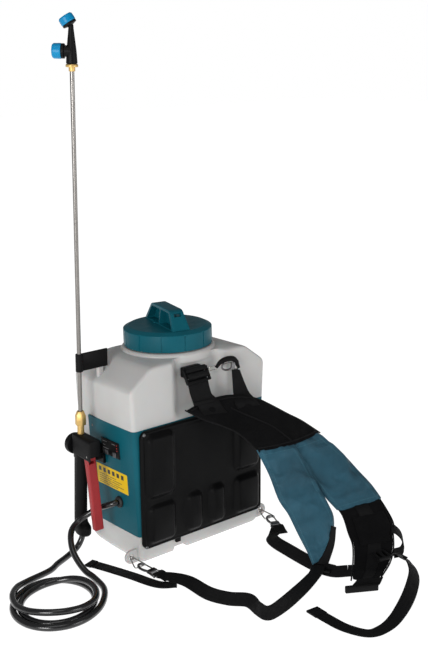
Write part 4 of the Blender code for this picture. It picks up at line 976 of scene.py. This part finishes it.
def stitch_row(points, pitch=0.0032, radius=0.00035):
    """Short raised threads set end to end along a line."""
    points = [Vector(p) for p in points]
    total = path_length(points)
    count = max(2, int(total / pitch))
    spots = smooth_path(points, 2 * count)
    bm = bmesh.new()
    for a, b in zip(spots[::2], spots[1::2]):
        axis = (b - a).normalized()
        side = axis.orthogonal().normalized()
        up = axis.cross(side)
        rings = []
        for t, r in ((-0.1, 0.4), (0.15, 1.0), (0.85, 1.0), (1.1, 0.4)):
            centre = a + (b - a) * t
            rings.append([bm.verts.new(p) for p in circle(centre, side, up, radius * r, 6)])
        for low, high in zip(rings, rings[1:]):
            for k in range(6):
                bm.faces.new((low[k], low[(k + 1) % 6], high[(k + 1) % 6], high[k]))
        bm.faces.new(reversed(rings[0]))
        bm.faces.new(rings[-1])
    return bm


def stitches(name, rows, finish_name):
    whole = bmesh.new()
    for row in rows:
        part = stitch_row(row)
        mesh = bpy.data.meshes.new("part")
        part.to_mesh(mesh)
        part.free()
        whole.from_mesh(mesh)
        bpy.data.meshes.remove(mesh)
    obj = new_object(name, whole, finish_name, 60)
    return on_root(obj)


YOKE_LEFT = [
    (-0.054, -0.117, 0.294), (-0.028, -0.139, 0.275), (0.0, -0.157, 0.261), (0.025, -0.18, 0.244),
    (0.041, -0.212, 0.217),
]
YOKE_MIDDLE = [
    (0.04, -0.1225, 0.305), (0.058, -0.146, 0.279), (0.08, -0.168, 0.257), (0.103, -0.188, 0.239),
    (0.124, -0.223, 0.2135),
]
YOKE_RIGHT = [
    (0.11, -0.15, 0.286), (0.133, -0.164, 0.27), (0.156, -0.179, 0.253), (0.183, -0.19, 0.235),
    (0.2075, -0.207, 0.213),
]
NEAR_PAD_LEFT = [
    (0.041, -0.214, 0.216), (0.05, -0.238, 0.171), (0.052, -0.262, 0.127), (0.06, -0.28, 0.1),
    (0.0645, -0.302, 0.065), (0.068, -0.322, 0.036), (0.067, -0.338, 0.015),
]
NEAR_PAD_RIGHT = [
    (0.1235, -0.224, 0.213), (0.1325, -0.25, 0.177), (0.135, -0.281, 0.139), (0.136, -0.309, 0.107),
    (0.133, -0.326, 0.085), (0.118, -0.336, 0.056), (0.083, -0.3415, 0.019),
]
FAR_PAD_LEFT = [
    (0.118, -0.217, 0.213), (0.129, -0.243, 0.177), (0.137, -0.271, 0.139), (0.1435, -0.299, 0.113),
    (0.151, -0.327, 0.088), (0.139, -0.356, 0.062), (0.13, -0.376, 0.046), (0.101, -0.404, 0.026),
    (0.07, -0.43, 0.016),
]
FAR_PAD_RIGHT = [
    (0.204, -0.21, 0.211), (0.228, -0.255, 0.173), (0.2325, -0.296, 0.146), (0.2325, -0.339, 0.121),
    (0.221, -0.399, 0.08), (0.207, -0.414, 0.062), (0.188, -0.432, 0.044), (0.16, -0.448, 0.028),
    (0.119, -0.462, 0.017),
]
PAD_THICK = 0.014
YOKE_THICK = 0.012


def ribbon(name, left, right, count, finish_name="webbing", thick=WEB_THICK):
    """Webbing between two given edges."""
    lefts = smooth_path(left, count)
    rights = smooth_path(right, count)
    middles = [(a + b) / 2 for a, b in zip(lefts, rights)]
    section = [(0.0, -0.28), (0.03, -0.5), (0.2, -0.5), (0.4, -0.5), (0.6, -0.5), (0.8, -0.5), (0.97, -0.5),
               (1.0, -0.28)]
    section += [(1 - x, -z) for x, z in section]
    rings = []
    for a, b, along in zip(lefts, rights, tangents(middles)):
        up = along.cross(b - a).normalized() * thick
        rings.append([a.lerp(b, x) + up * z for x, z in section])
    return loft(name, rings, finish_name, smooth=50)


def stuffed(name, edges, thick, finish_name, rim=0.3, inset=0.0, wrinkle=0.0, seed=0.0, part=(0.0, 1.0),
            ends=(0.5, 0.5)):
    """A stuffed slab from its left edge to its right, thick in the middle and pinched where it is sewn."""
    count, across = 48, 18
    paths = [smooth_path(edge, count) for edge in edges]
    lefts, rights = paths[0], paths[-1]
    halves = [(a + b) / 2 for a, b in zip(lefts, rights)]
    middles = paths[1] if len(paths) == 3 else halves
    first, last = round(part[0] * (count - 1)), round(part[1] * (count - 1))
    along = tangents(halves)
    rings = []
    for i in range(first, last + 1):
        left, middle, right = lefts[i], middles[i], rights[i]
        up = along[i].cross(right - left).normalized()
        near_end = ends[0] + (1 - ends[0]) * smooth_step((i - first) / 4)
        far_end = ends[1] + (1 - ends[1]) * smooth_step((last - i) / 4)
        depth = thick * min(near_end, far_end) / 2
        reach = 1 - 2 * inset / (right - left).length
        ring = []
        for face in (-1, 1):
            for k in range(across + 1):
                u = -face * (1 - 2 * k / across)
                profile = rim + (1 - rim) * (1 - abs(u) ** 3.0) ** 0.8
                if k in (0, across):
                    profile = 0.5 * rim
                u *= reach
                spot = left * u * (u - 1) / 2 + middle * (1 - u * u) + right * u * (u + 1) / 2
                spot = spot + up * face * profile * depth
                if wrinkle:
                    push = noise.noise(Vector((spot.x * 26 + seed, spot.y * 26, spot.z * 34)))
                    push += 0.5 * noise.noise(Vector((spot.x * 70, spot.y * 70 + seed, spot.z * 60)))
                    spot = spot + up * face * push * wrinkle
                ring.append(spot)
        rings.append(ring)
    return loft(name, rings, finish_name, smooth=70)


SEWN_REACH = 0.0055
FABRIC_SLACK = -0.06


def puffed(obj, edges, part=(0.0, 1.0), pressure=4.0, cap=0.005):
    """Swells a stuffed piece with a cloth simulation held at its sewn rims, each point's move capped."""
    rims = [p for share in (0.0, 1.0) for p in edge_line(edges, share, 160, part)]
    rims += [p for place in part for p in cross_line(edges, place, 40)]
    sewn = KDTree(len(rims))
    for i, point in enumerate(rims):
        sewn.insert(point, i)
    sewn.balance()
    before = [v.co.copy() for v in obj.data.vertices]
    held = obj.vertex_groups.new(name="sewn")
    held.add([i for i, spot in enumerate(before) if sewn.find(spot)[2] < SEWN_REACH], 1.0, "REPLACE")
    cloth = obj.modifiers.new("cloth", "CLOTH")
    cloth.settings.vertex_group_mass = "sewn"
    cloth.settings.use_pressure = True
    cloth.settings.uniform_pressure_force = pressure
    cloth.settings.shrink_min = FABRIC_SLACK
    cloth.settings.effector_weights.gravity = 0.0
    for number in range(1, 21):
        bpy.context.scene.frame_set(number)
    apply_all(obj)
    bpy.context.scene.frame_set(1)
    obj.vertex_groups.clear()
    for vertex, start in zip(obj.data.vertices, before):
        move = vertex.co - start
        if move.length > cap:
            vertex.co = start + move * cap / move.length
    division = obj.modifiers.new("division", "SUBSURF")
    division.levels = 1
    division.render_levels = 1
    apply_all(obj)
    return smoothed(obj, 80)


def settled(obj, points, outward, lift):
    """Points carried along a direction onto the piece's own skin, and a little proud of it."""
    tree = BVHTree.FromPolygons([v.co for v in obj.data.vertices], [p.vertices[:] for p in obj.data.polygons])
    outward = Vector(outward).normalized()
    result = []
    for point in points:
        hit = tree.ray_cast(Vector(point) + outward * 0.05, -outward, 0.1)[0]
        result.append((hit if hit else Vector(point)) + outward * lift)
    return result


def edge_line(edges, share, count, part=(0.0, 1.0)):
    """A line down a slab, at a share of its width from its left edge."""
    left, right = smooth_path(edges[0], count), smooth_path(edges[-1], count)
    low, high = round(part[0] * (count - 1)), round(part[1] * (count - 1))
    return [a.lerp(b, share) for a, b in zip(left[low : high + 1], right[low : high + 1])]


def cross_line(edges, place, count=24, shares=(0.03, 0.97)):
    """A line across a slab at a share of its length."""
    left, right = smooth_path(edges[0], 60), smooth_path(edges[-1], 60)
    row = round(place * 59)
    steps = [shares[0] + (shares[1] - shares[0]) * i / (count - 1) for i in range(count)]
    if len(edges) == 2:
        return [left[row].lerp(right[row], t) for t in steps]
    middle = smooth_path(edges[1], 60)[row]
    return [
        left[row] * (2 * t - 1) * (t - 1) + middle * 4 * t * (1 - t) + right[row] * t * (2 * t - 1)
        for t in steps
    ]


PAD_FACE = (-0.55, -0.75, 0.35)


def dress_far_pad(pad, edges, covered):
    """The far pad's webbing strip, the pocket on it, the loop at its side and the bar at its end."""
    span = (covered + 0.01, 0.995)
    left = settled(pad, edge_line(edges, 0.36, 90, span), PAD_FACE, 0.0013)
    right = settled(pad, edge_line(edges, 0.66, 90, span), PAD_FACE, 0.0013)
    on_root(ribbon("far_pad_webbing", left, right, 50))
    pocket_edges = (
        settled(pad, edge_line(edges, 0.2, 90, (0.56, 0.74)), PAD_FACE, 0.0025),
        settled(pad, edge_line(edges, 0.88, 90, (0.56, 0.74)), PAD_FACE, 0.0025),
    )
    pocket = stuffed("far_pad_pocket", pocket_edges, 0.0085, "pad_fabric", rim=0.3, wrinkle=0.0006, seed=2.0)
    on_root(pocket)
    side = [(0.205, -0.407, 0.07), (0.214, -0.412, 0.064), (0.221, -0.419, 0.052), (0.215, -0.429, 0.04),
            (0.196, -0.44, 0.037), (0.174, -0.442, 0.04)]
    half = Vector((0.007, 0.008, 0.0045))
    inner, outer = [Vector(p) - half for p in side], [Vector(p) + half for p in side]
    on_root(ribbon("far_pad_side_loop", inner, outer, 30))
    low, high = Vector((0.042, -0.444, 0.0145)), Vector((0.093, -0.477, 0.0155))
    ends = [edge_line(edges, share, 90)[-1] for share in (0.1, 0.92)]
    ends = [end - Vector((-0.006, 0.004, -0.001)) for end in ends]
    under = [(ends[0], low.lerp(high, 0.02)), (ends[1], low.lerp(high, 0.98))]
    drop = Vector((0, 0, 0.0035))
    on_root(ribbon("far_pad_end_web", *[[a, a.lerp(b, 0.5) - drop, b] for a, b in under], 16))
    run = (high - low).normalized()
    turn = Matrix((run, Vector((0, 0, 1)).cross(run), Vector((0, 0, 1)))).transposed().to_4x4()
    place = Matrix.Translation((low + high) / 2) @ turn
    size = (high - low).length / 2
    bar = block("far_pad_end_bar", (-size, -0.004, -0.008), (size, 0.004, 0.005), "black_plastic", place,
                0.0022)
    on_root(bar)


def make_shoulder_pads():
    """Left pad in its cover down to the tip; right pad in a cover over its upper half."""
    plans = (
        ("left", (NEAR_PAD_LEFT, NEAR_PAD_RIGHT), 1.0, 3.0),
        ("right", (FAR_PAD_LEFT, FAR_PAD_RIGHT), 0.5, 9.0),
    )
    for side, edges, covered, seed in plans:
        cover = stuffed(f"{side}_cover", edges, PAD_THICK * 0.86, "cover_fabric", rim=0.34, wrinkle=0.0019,
                        seed=seed, part=(0.0, covered), ends=(0.62, 0.75))
        puffed(cover, edges, (0.0, covered), cap=0.005)
        stands_for(cover, f"{side}_pad_cover")
        start = covered - 0.03
        pad = stuffed(f"{side}_pad", edges, PAD_THICK * 0.72, "pad_fabric", rim=0.4, inset=0.004,
                      wrinkle=0.0006, seed=5.0, part=(start, 1.0), ends=(0.3, 0.5))
        if covered < 1.0:
            puffed(pad, edges, (start, 1.0), cap=0.004)
        stands_for(pad, f"{side}_shoulder_pad")
        for tag, share in (("inner", 0.004), ("outer", 0.996)):
            line = edge_line(edges, share, 90, (0.0, covered))
            on_root(tube(f"{side}_cover_piping_{tag}", line, 0.0014, "cover_fabric", 10))
            if covered < 1.0:
                line = edge_line(edges, 0.03 + 0.94 * (share > 0.5), 90, (covered, 1.0))
                on_root(tube(f"{side}_pad_piping_{tag}", line, 0.0015, "webbing", 10))
        if covered < 1.0:
            dress_far_pad(pad, edges, covered)
        rows = [settled(cover, edge_line(edges, share, 90, (0.03, covered * 0.98)), PAD_FACE, 0.0002)
                for share in (0.09, 0.91)]
        rows.append(settled(cover, cross_line(edges, 0.045), PAD_FACE, 0.0002))
        if covered < 1.0:
            rows.append(settled(cover, cross_line(edges, covered * 0.955), PAD_FACE, 0.0002))
        stitches(f"{side}_cover_stitches", rows, "teal_thread")


YOKE_TUCK = 0.009


def past_end(edge, length):
    """The point that carries an edge on past its last one."""
    last, before = Vector(edge[-1]), Vector(edge[-2])
    return last + (last - before).normalized() * length


def make_yoke():
    """Padded yoke behind the neck, from the upper webs down to the covers."""
    edges = tuple(edge + [past_end(edge, YOKE_TUCK)] for edge in (YOKE_LEFT, YOKE_MIDDLE, YOKE_RIGHT))
    yoke = stuffed("neck_yoke", edges, YOKE_THICK * 0.9, "pad_fabric", rim=0.42, wrinkle=0.0007,
                   ends=(0.6, 0.4))
    puffed(yoke, edges, cap=0.004)
    stands_for(yoke, "harness_yoke")
    for tag, line in (
        ("left", edge_line(edges, 0.004, 60)),
        ("right", edge_line(edges, 0.996, 60)),
        ("top", settled(yoke, cross_line(edges, 0.05), PAD_FACE, 0.0)),
        ("middle", settled(yoke, edge_line(edges, 0.52, 60, (0.08, 0.97)), PAD_FACE, 0.0)),
        ("low", settled(yoke, cross_line(edges, 0.93), PAD_FACE, 0.0)),
    ):
        on_root(tube(f"yoke_piping_{tag}", line, 0.0015, "webbing", 8))
    return yoke


LOWER_LEFT = [
    (-0.163, -0.166, 0.009), (-0.154, -0.19, 0.011), (-0.144, -0.228, 0.012), (-0.1434, -0.285, 0.0105),
    (-0.129, -0.324, 0.01), (-0.108, -0.353, 0.0105), (-0.118, -0.392, 0.0125), (-0.115, -0.414, 0.0125),
    (-0.0783, -0.4096, 0.0128), (-0.0195, -0.3887, 0.0105), (0.018, -0.374, 0.01), (0.047, -0.363, 0.012),
]
LOWER_LEFT_ROLL = [0, -18, -30, -42, -44, -50, -70, -68, -46, -30, -15, 0]
LEFT_TAIL = [
    (-0.154, -0.206, 0.0018), (-0.18, -0.183, 0.0018), (-0.196, -0.12, 0.0018), (-0.213, -0.06, 0.0018),
    (-0.226, -0.021, 0.0018),
]
LOWER_RIGHT = [
    (0.138, -0.162, 0.0085), (0.116, -0.178, 0.0088), (0.098, -0.19, 0.0092), (0.0885, -0.215, 0.0098),
    (0.0835, -0.254, 0.01), (0.0792, -0.3, 0.0095), (0.0785, -0.34, 0.0085), (0.085, -0.372, 0.008),
    (0.104, -0.392, 0.01),
]
LOWER_RIGHT_ROLL = [0, -18, -32, -40, -42, -40, -34, -30, -30]
RIGHT_TAIL = [
    (0.183, -0.464, 0.034), (0.177, -0.484, 0.026), (0.158, -0.504, 0.018), (0.1064, -0.5342, 0.009),
    (0.0457, -0.56, 0.003), (0.004, -0.569, 0.002), (-0.0253, -0.562, 0.0018), (-0.04, -0.525, 0.0018),
    (-0.0405, -0.484, 0.0018), (-0.0369, -0.44, 0.0018),
]
TAIL_START = [(0.161, -0.444, 0.042), (0.172, -0.45, 0.042), (0.183, -0.464, 0.034)]
RIGHT_TAIL_ROLL = [40, 40, 30, 15, 3, 0, 0, 0, 0, 0]


def buckle_point(x, z, drift=0.0):
    """A point of the upper buckle's own plane: x down its length, z out of its face."""
    down = Vector((0.01, -0.47, -0.88)).normalized()
    out = Vector((0.0, -0.88, 0.47)).normalized()
    return Vector((-0.0183 + drift, -0.112, 0.3548)) + down * x + out * z


def make_straps(yoke):
    """The two upper webs with the loop on their buckle, the lower straps and the free ends."""
    half = Vector((0.0242, 0, 0))
    loop = [(-0.004, -0.005), (-0.01, -0.0048), (-0.015, -0.0043), (-0.0165, 0.0), (-0.015, 0.0043),
            (-0.0112, 0.0047), (-0.0084, 0.0035), (-0.0078, 0.0), (-0.0078, -0.003)]
    middles = [buckle_point(x, z) for x, z in loop]
    on_root(ribbon("buckle_loop", [p - half for p in middles], [p + half for p in middles], 40))
    down = [(-0.0052, -0.003), (-0.0051, 0.0), (-0.0038, 0.0042), (0.0, 0.005), (0.004, 0.0042),
            (0.0056, 0.0), (0.0075, -0.0038), (0.012, -0.0047), (0.0165, -0.0045)]
    middles = [buckle_point(x, z) for x, z in down]
    below = ((-0.0178, -0.1195, 0.3255), (-0.016, -0.1235, 0.312), (-0.0148, -0.1265, 0.303))
    middles += [Vector(p) for p in below]
    upper = ribbon("upper_left_strap", [p - half for p in middles], [p + half for p in middles], 70)
    stands_for(upper, "upper_left_web")
    left = [(-0.04, -0.1215, 0.316), (-0.033, -0.124, 0.306), (-0.03, -0.129, 0.299)]
    left += settled(yoke, [(-0.0285, -0.133, 0.292), (-0.025, -0.142, 0.284)], PAD_FACE, 0.0013)
    right = [(0.008, -0.1215, 0.315), (0.017, -0.124, 0.305), (0.0205, -0.132, 0.297)]
    right += settled(yoke, [(0.0215, -0.14, 0.288), (0.025, -0.149, 0.279)], PAD_FACE, 0.0013)
    on_root(ribbon("upper_left_patch", left, right, 24))
    left = [(-0.0398, -0.1268, 0.3068), (-0.0392, -0.1282, 0.3015)]
    right = [(0.0098, -0.1268, 0.3058), (0.0104, -0.1282, 0.3005)]
    on_root(ribbon("upper_left_strap_hem", left, right, 4, thick=0.0046))
    left = [(0.0674, -0.114, 0.349), (0.0645, -0.119, 0.328), (0.061, -0.125, 0.306)]
    left += settled(yoke, [(0.057, -0.133, 0.286), (0.056, -0.142, 0.278)], PAD_FACE, 0.0013)
    right = [(0.0862, -0.116, 0.3455), (0.0905, -0.123, 0.323), (0.096, -0.132, 0.3)]
    right += settled(yoke, [(0.101, -0.145, 0.286), (0.103, -0.154, 0.278)], PAD_FACE, 0.0013)
    stands_for(ribbon("upper_right_strap", left, right, 30), "upper_right_web")
    for name, node, route, rolls, count in (
        ("lower_left_strap", "lower_left_web", LOWER_LEFT, LOWER_LEFT_ROLL, 100),
        ("left_strap_end", "left_free_tail", LEFT_TAIL, [0, 0], 40),
        ("lower_right_strap", "lower_right_web", LOWER_RIGHT, LOWER_RIGHT_ROLL, 60),
        ("right_strap_end", "right_free_tail", RIGHT_TAIL, RIGHT_TAIL_ROLL, 110),
    ):
        stands_for(strap(name, route, count, rolls), node)
    for name, route, roll in (
        ("right_strap_start", TAIL_START, 40),
        ("lower_left_strap_end", [LOWER_LEFT[-1], (0.059, -0.356, 0.013), (0.073, -0.345, 0.014)], 0),
        ("lower_right_strap_end", [LOWER_RIGHT[-1], (0.113, -0.403, 0.012), (0.12, -0.413, 0.016)],
         LOWER_RIGHT_ROLL[-1]),
    ):
        on_root(strap(name, route, 12, [roll, roll]))
    left = [(0.12, -0.333, 0.076), (0.102, -0.34, 0.045), (0.072, -0.344, 0.018)]
    right = [(0.132, -0.334, 0.07), (0.119, -0.342, 0.04), (0.093, -0.352, 0.013)]
    on_root(ribbon("near_pad_tip_web", left, right, 20))
    make_strap_fittings()


def hem(name, route, roll):
    """The thicker, folded end of a free strap."""
    last = smooth_path(route, 60)[-5:]
    on_root(strap(name, last, 8, [roll, roll], LOWER_WEB + 0.0006, thick=0.0042))


def make_strap_fittings():
    """The free straps' folded ends, the loops on the lower hooks' eyes, and the upper hook's sleeve."""
    hem("left_strap_end_hem", LEFT_TAIL, 0)
    hem("right_strap_end_hem", RIGHT_TAIL, RIGHT_TAIL_ROLL[-1])
    for tag, eye, out in (
        ("left", Vector((-0.1632, -0.1616, 0.0083)), Vector((0.0993, -0.9933, -0.0596))),
        ("right", Vector((0.1417, -0.1598, 0.0084)), Vector((-0.41, -0.91, -0.0546))),
    ):
        across = out.cross(Vector((0, 0, 1))).normalized()
        rise = across.cross(out).normalized()
        path = [eye - out * 0.003, eye - out * 0.0034 + rise * 0.0036, eye + out * 0.004 + rise * 0.005,
                eye + out * 0.016 + rise * 0.003, eye + out * 0.03 + rise * 0.0022]
        path.insert(0, eye - rise * 0.0036)
        half = across * 0.0112
        on_root(ribbon(f"{tag}_hook_loop", [p - half for p in path], [p + half for p in path], 24))
    sling = [(0.0316, -0.11, 0.359), (0.0415, -0.112, 0.3692), (0.0577, -0.114, 0.3725),
             (0.074, -0.115, 0.3684), (0.084, -0.116, 0.35)]
    swell = [0.003 + 0.0024 * math.sin(math.pi * i / 29) for i in range(30)]
    on_root(tube("upper_hook_sleeve", smooth_path(sling, 30), swell, "webbing", 14))


# ---------------------------------------------------------------- hard parts


def make_hard_parts():
    for node in ("pump_housing", "hose_grommet", "battery_door", "door_latch", "strap_anchor", "lance_clip",
                 "gun_hanger"):
        polished(node, 0.0007)
    for node in ("control_panel", "power_button", "pressure_button"):
        polished(node, 0.0003)
    polished("gun_body", 0.0022, 3)
    polished("trigger_lever", 0.0026, 4)
    for node in ("upper_adjuster", "left_slider", "right_ladder_lock"):
        polished(node, 0.0006)
    for node in ("upper_snap_hook", "left_snap_hook", "right_snap_hook"):
        polished(node, 0.0004)
    for node in ("anchor_ring", "left_lug_ring", "right_lug_ring", "upper_snap_hook_gate",
                 "left_snap_hook_gate", "right_snap_hook_gate", "trigger_pin"):
        polished(node, 0.0)
    valve = WAND @ Matrix.Translation((0, 0.0163, 0.2235)) @ Matrix.Rotation(-math.pi / 2, 4, "X")
    profile = softened([(0, 0), (0.02, 0), (0.0205, 0.002), (0.0205, 0.011), (0.017, 0.016), (0, 0.0175)],
                       0.002)
    stands_for(lathe("valve_cover", profile, "black_plastic", valve), "valve_cap")
    collar = softened([(0.0044, 0.2503), (0.0066, 0.2503), (0.0066, 0.2682), (0.0044, 0.2682)], 0.0006)
    stands_for(lathe("lance_ferrule", collar, "brass", WAND, 64), "lance_collar")
    nut = [(0.0049, 0.2687), (0.0108, 0.2687), (0.0108, 0.287), (0.0068, 0.2965), (0.0049, 0.2965)]
    hexagon = lathe("lance_union_nut", nut, "brass", WAND @ Matrix.Rotation(math.radians(15), 4, "Z"), 6, 20)
    modifier = hexagon.modifiers.new("edges", "BEVEL")
    modifier.width = 0.0005
    modifier.segments = 2
    apply_all(hexagon)
    stands_for(smoothed(hexagon, 25), "lance_nut")
    lance = [(0.0029, 0.241), (0.004, 0.241), (0.004, 0.9335), (0.0029, 0.9335)]
    stands_for(lathe("lance", lance, "lance_steel", WAND, 40), "lance_tube")
    fitting = [(0.0, 0.9346), (0.0043, 0.9346), (0.0043, 0.9268), (0.0057, 0.9268), (0.0057, 0.9341),
               (0.0108, 0.9341), (0.011, 0.9375), (0.0098, 0.9392), (0.0, 0.9392)]
    stands_for(lathe("lance_tip", softened(fitting, 0.0005), "brass", WAND, 64), "tip_fitting")
    nozzle = WAND @ Matrix.Translation((0, 0, 0.961)) @ Matrix.Rotation(math.radians(136.0), 4, "Z")
    side = Matrix.Rotation(math.pi / 2, 4, "Y")
    top = Matrix.Translation((0.0002, 0, 0.0425)) @ Matrix.Rotation(math.radians(33.0), 4, "Y")
    body = [(0, -0.0214), (0.0101, -0.0214), (0.0088, 0.0), (0.0047, 0.037), (0.0043, 0.045), (0.0, 0.046)]
    head = lathe("nozzle_head", softened(body, 0.002), "black_plastic", nozzle, 64)
    boss = [(0, 0), (0.0098, 0), (0.0098, 0.0118), (0.013, 0.0125), (0.013, 0.0172), (0.006, 0.0172),
            (0.006, 0.025), (0, 0.025)]
    side_boss = lathe("union_side", softened(boss, 0.0006), "black_plastic", nozzle @ side, 64)
    boss = [(0, 0), (0.0043, 0), (0.0128, 0.0022), (0.013, 0.0058), (0.006, 0.0058), (0.006, 0.013),
            (0, 0.013)]
    top_boss = lathe("union_top", softened(boss, 0.0006), "black_plastic", nozzle @ top, 64)
    combine(head, [side_boss, top_boss], "UNION")
    stands_for(smoothed(head), "nozzle_body")
    side_seat = nozzle @ Matrix.Translation((0.0175, 0, 0)) @ side
    top_seat = nozzle @ top @ Matrix.Translation((0, 0, 0.0061))
    for tag, place, height in (("side", side_seat, 0.016), ("top", top_seat, 0.0135)):
        outline = [(0, 0.0095), (0.0066, 0.0095), (0.0066, 0.0), (0.013, 0.0), (0.0135, 0.002),
                   (0.0132, height - 0.0025), (0.0112, height), (0.0025, height),
                   (0.0025, height - 0.0018), (0, height - 0.0018)]
        cap = lathe(f"{tag}_nozzle_cap", softened(outline, 0.0008), "blue_plastic", place, 80)
        ribs = []
        for i in range(20):
            spot = place @ Matrix.Rotation(2 * math.pi * i / 20, 4, "Z")
            spot = spot @ Matrix.Translation((0.0137, 0, height * 0.48))
            ribs.append(block(f"cut_rib_{i}", (-0.0006, -0.0007, -0.005), (0.0006, 0.0007, 0.005), None,
                              spot))
        combine(cap, [joined("cut_ribs", ribs)], "DIFFERENCE")
        stands_for(smoothed(cap), f"nozzle_cap_{tag}")


def make_label_and_marks():
    """A plain yellow label, the panel's lamps and lines, and the housing screw, all without text."""
    place = wall_place(-1, -0.0155, 0.1555, 0.0)
    label = block("side_label", (-0.0515, -0.0205, -0.0002), (0.0515, 0.0205, 0.0003), "label", place,
                  0.0001, 1)
    marks = []
    for i in range(6):
        x = -0.044 + 0.015 * i
        marks.append(block("mark", (x, 0.0065, 0.0002), (x + 0.0085, 0.0155, 0.0004), "print", place))
    for row, (y, length) in enumerate(((0.001, 0.06), (-0.0035, 0.078), (-0.008, 0.07), (-0.0125, 0.084),
                                       (-0.0165, 0.064))):
        x = -0.044
        for piece in (0.36, 0.22, 0.42):
            marks.append(block("mark", (x, y - 0.0006, 0.0002),
                               (x + length * piece - 0.0025, y + 0.0006, 0.0004), "print", place))
            x += length * piece
    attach(joined("side_label_print", marks), "root")
    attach(label, "root")
    panel = wall_place(-1, -0.0205, 0.22, 0.0022)
    lines = []
    for x, y, length in ((-0.024, 0.0105, 0.014), (-0.024, 0.003, 0.008), (-0.024, -0.003, 0.018),
                         (0.007, 0.0105, 0.01)):
        lines.append(block("mark", (x, y - 0.0004, -0.0001), (x + length, y + 0.0004, 0.0002), "lamp_off",
                           panel))
    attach(joined("panel_lines", lines), "root")
    lamps = []
    lens = softened([(0, 0.0005), (0.0011, 0.0004), (0.0013, -0.0002), (0, -0.0002)], 0.0002)
    for x, y in ((0.0225, 0.0105), (0.0225, 0.005), (0.0225, -0.0005)):
        spot = panel @ Matrix.Translation((x, y, 0))
        lamps.append(lathe("lamp", lens, "lamp", spot, 20))
    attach(joined("panel_lamps", lamps), "root")
    spot = wall_place(-1, 0.0396, 0.2515, -0.0012)
    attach(screw_head("housing_screw", spot, 0.0027, "dark_steel", "root"), "root")


def finish_cad_nodes():
    """Every node still shown gets the made-up finish of its slot."""
    for name, node in NODES.items():
        for material_slot in node.material_slots:
            material_slot.material = MATERIALS[SLOTS[name]]


make_materials()
add_camera()
add_stage()
make_hose()
make_tank()
make_cap()
make_back_pad()
make_shoulder_pads()
make_straps(make_yoke())
make_hard_parts()
make_label_and_marks()
finish_cad_nodes()
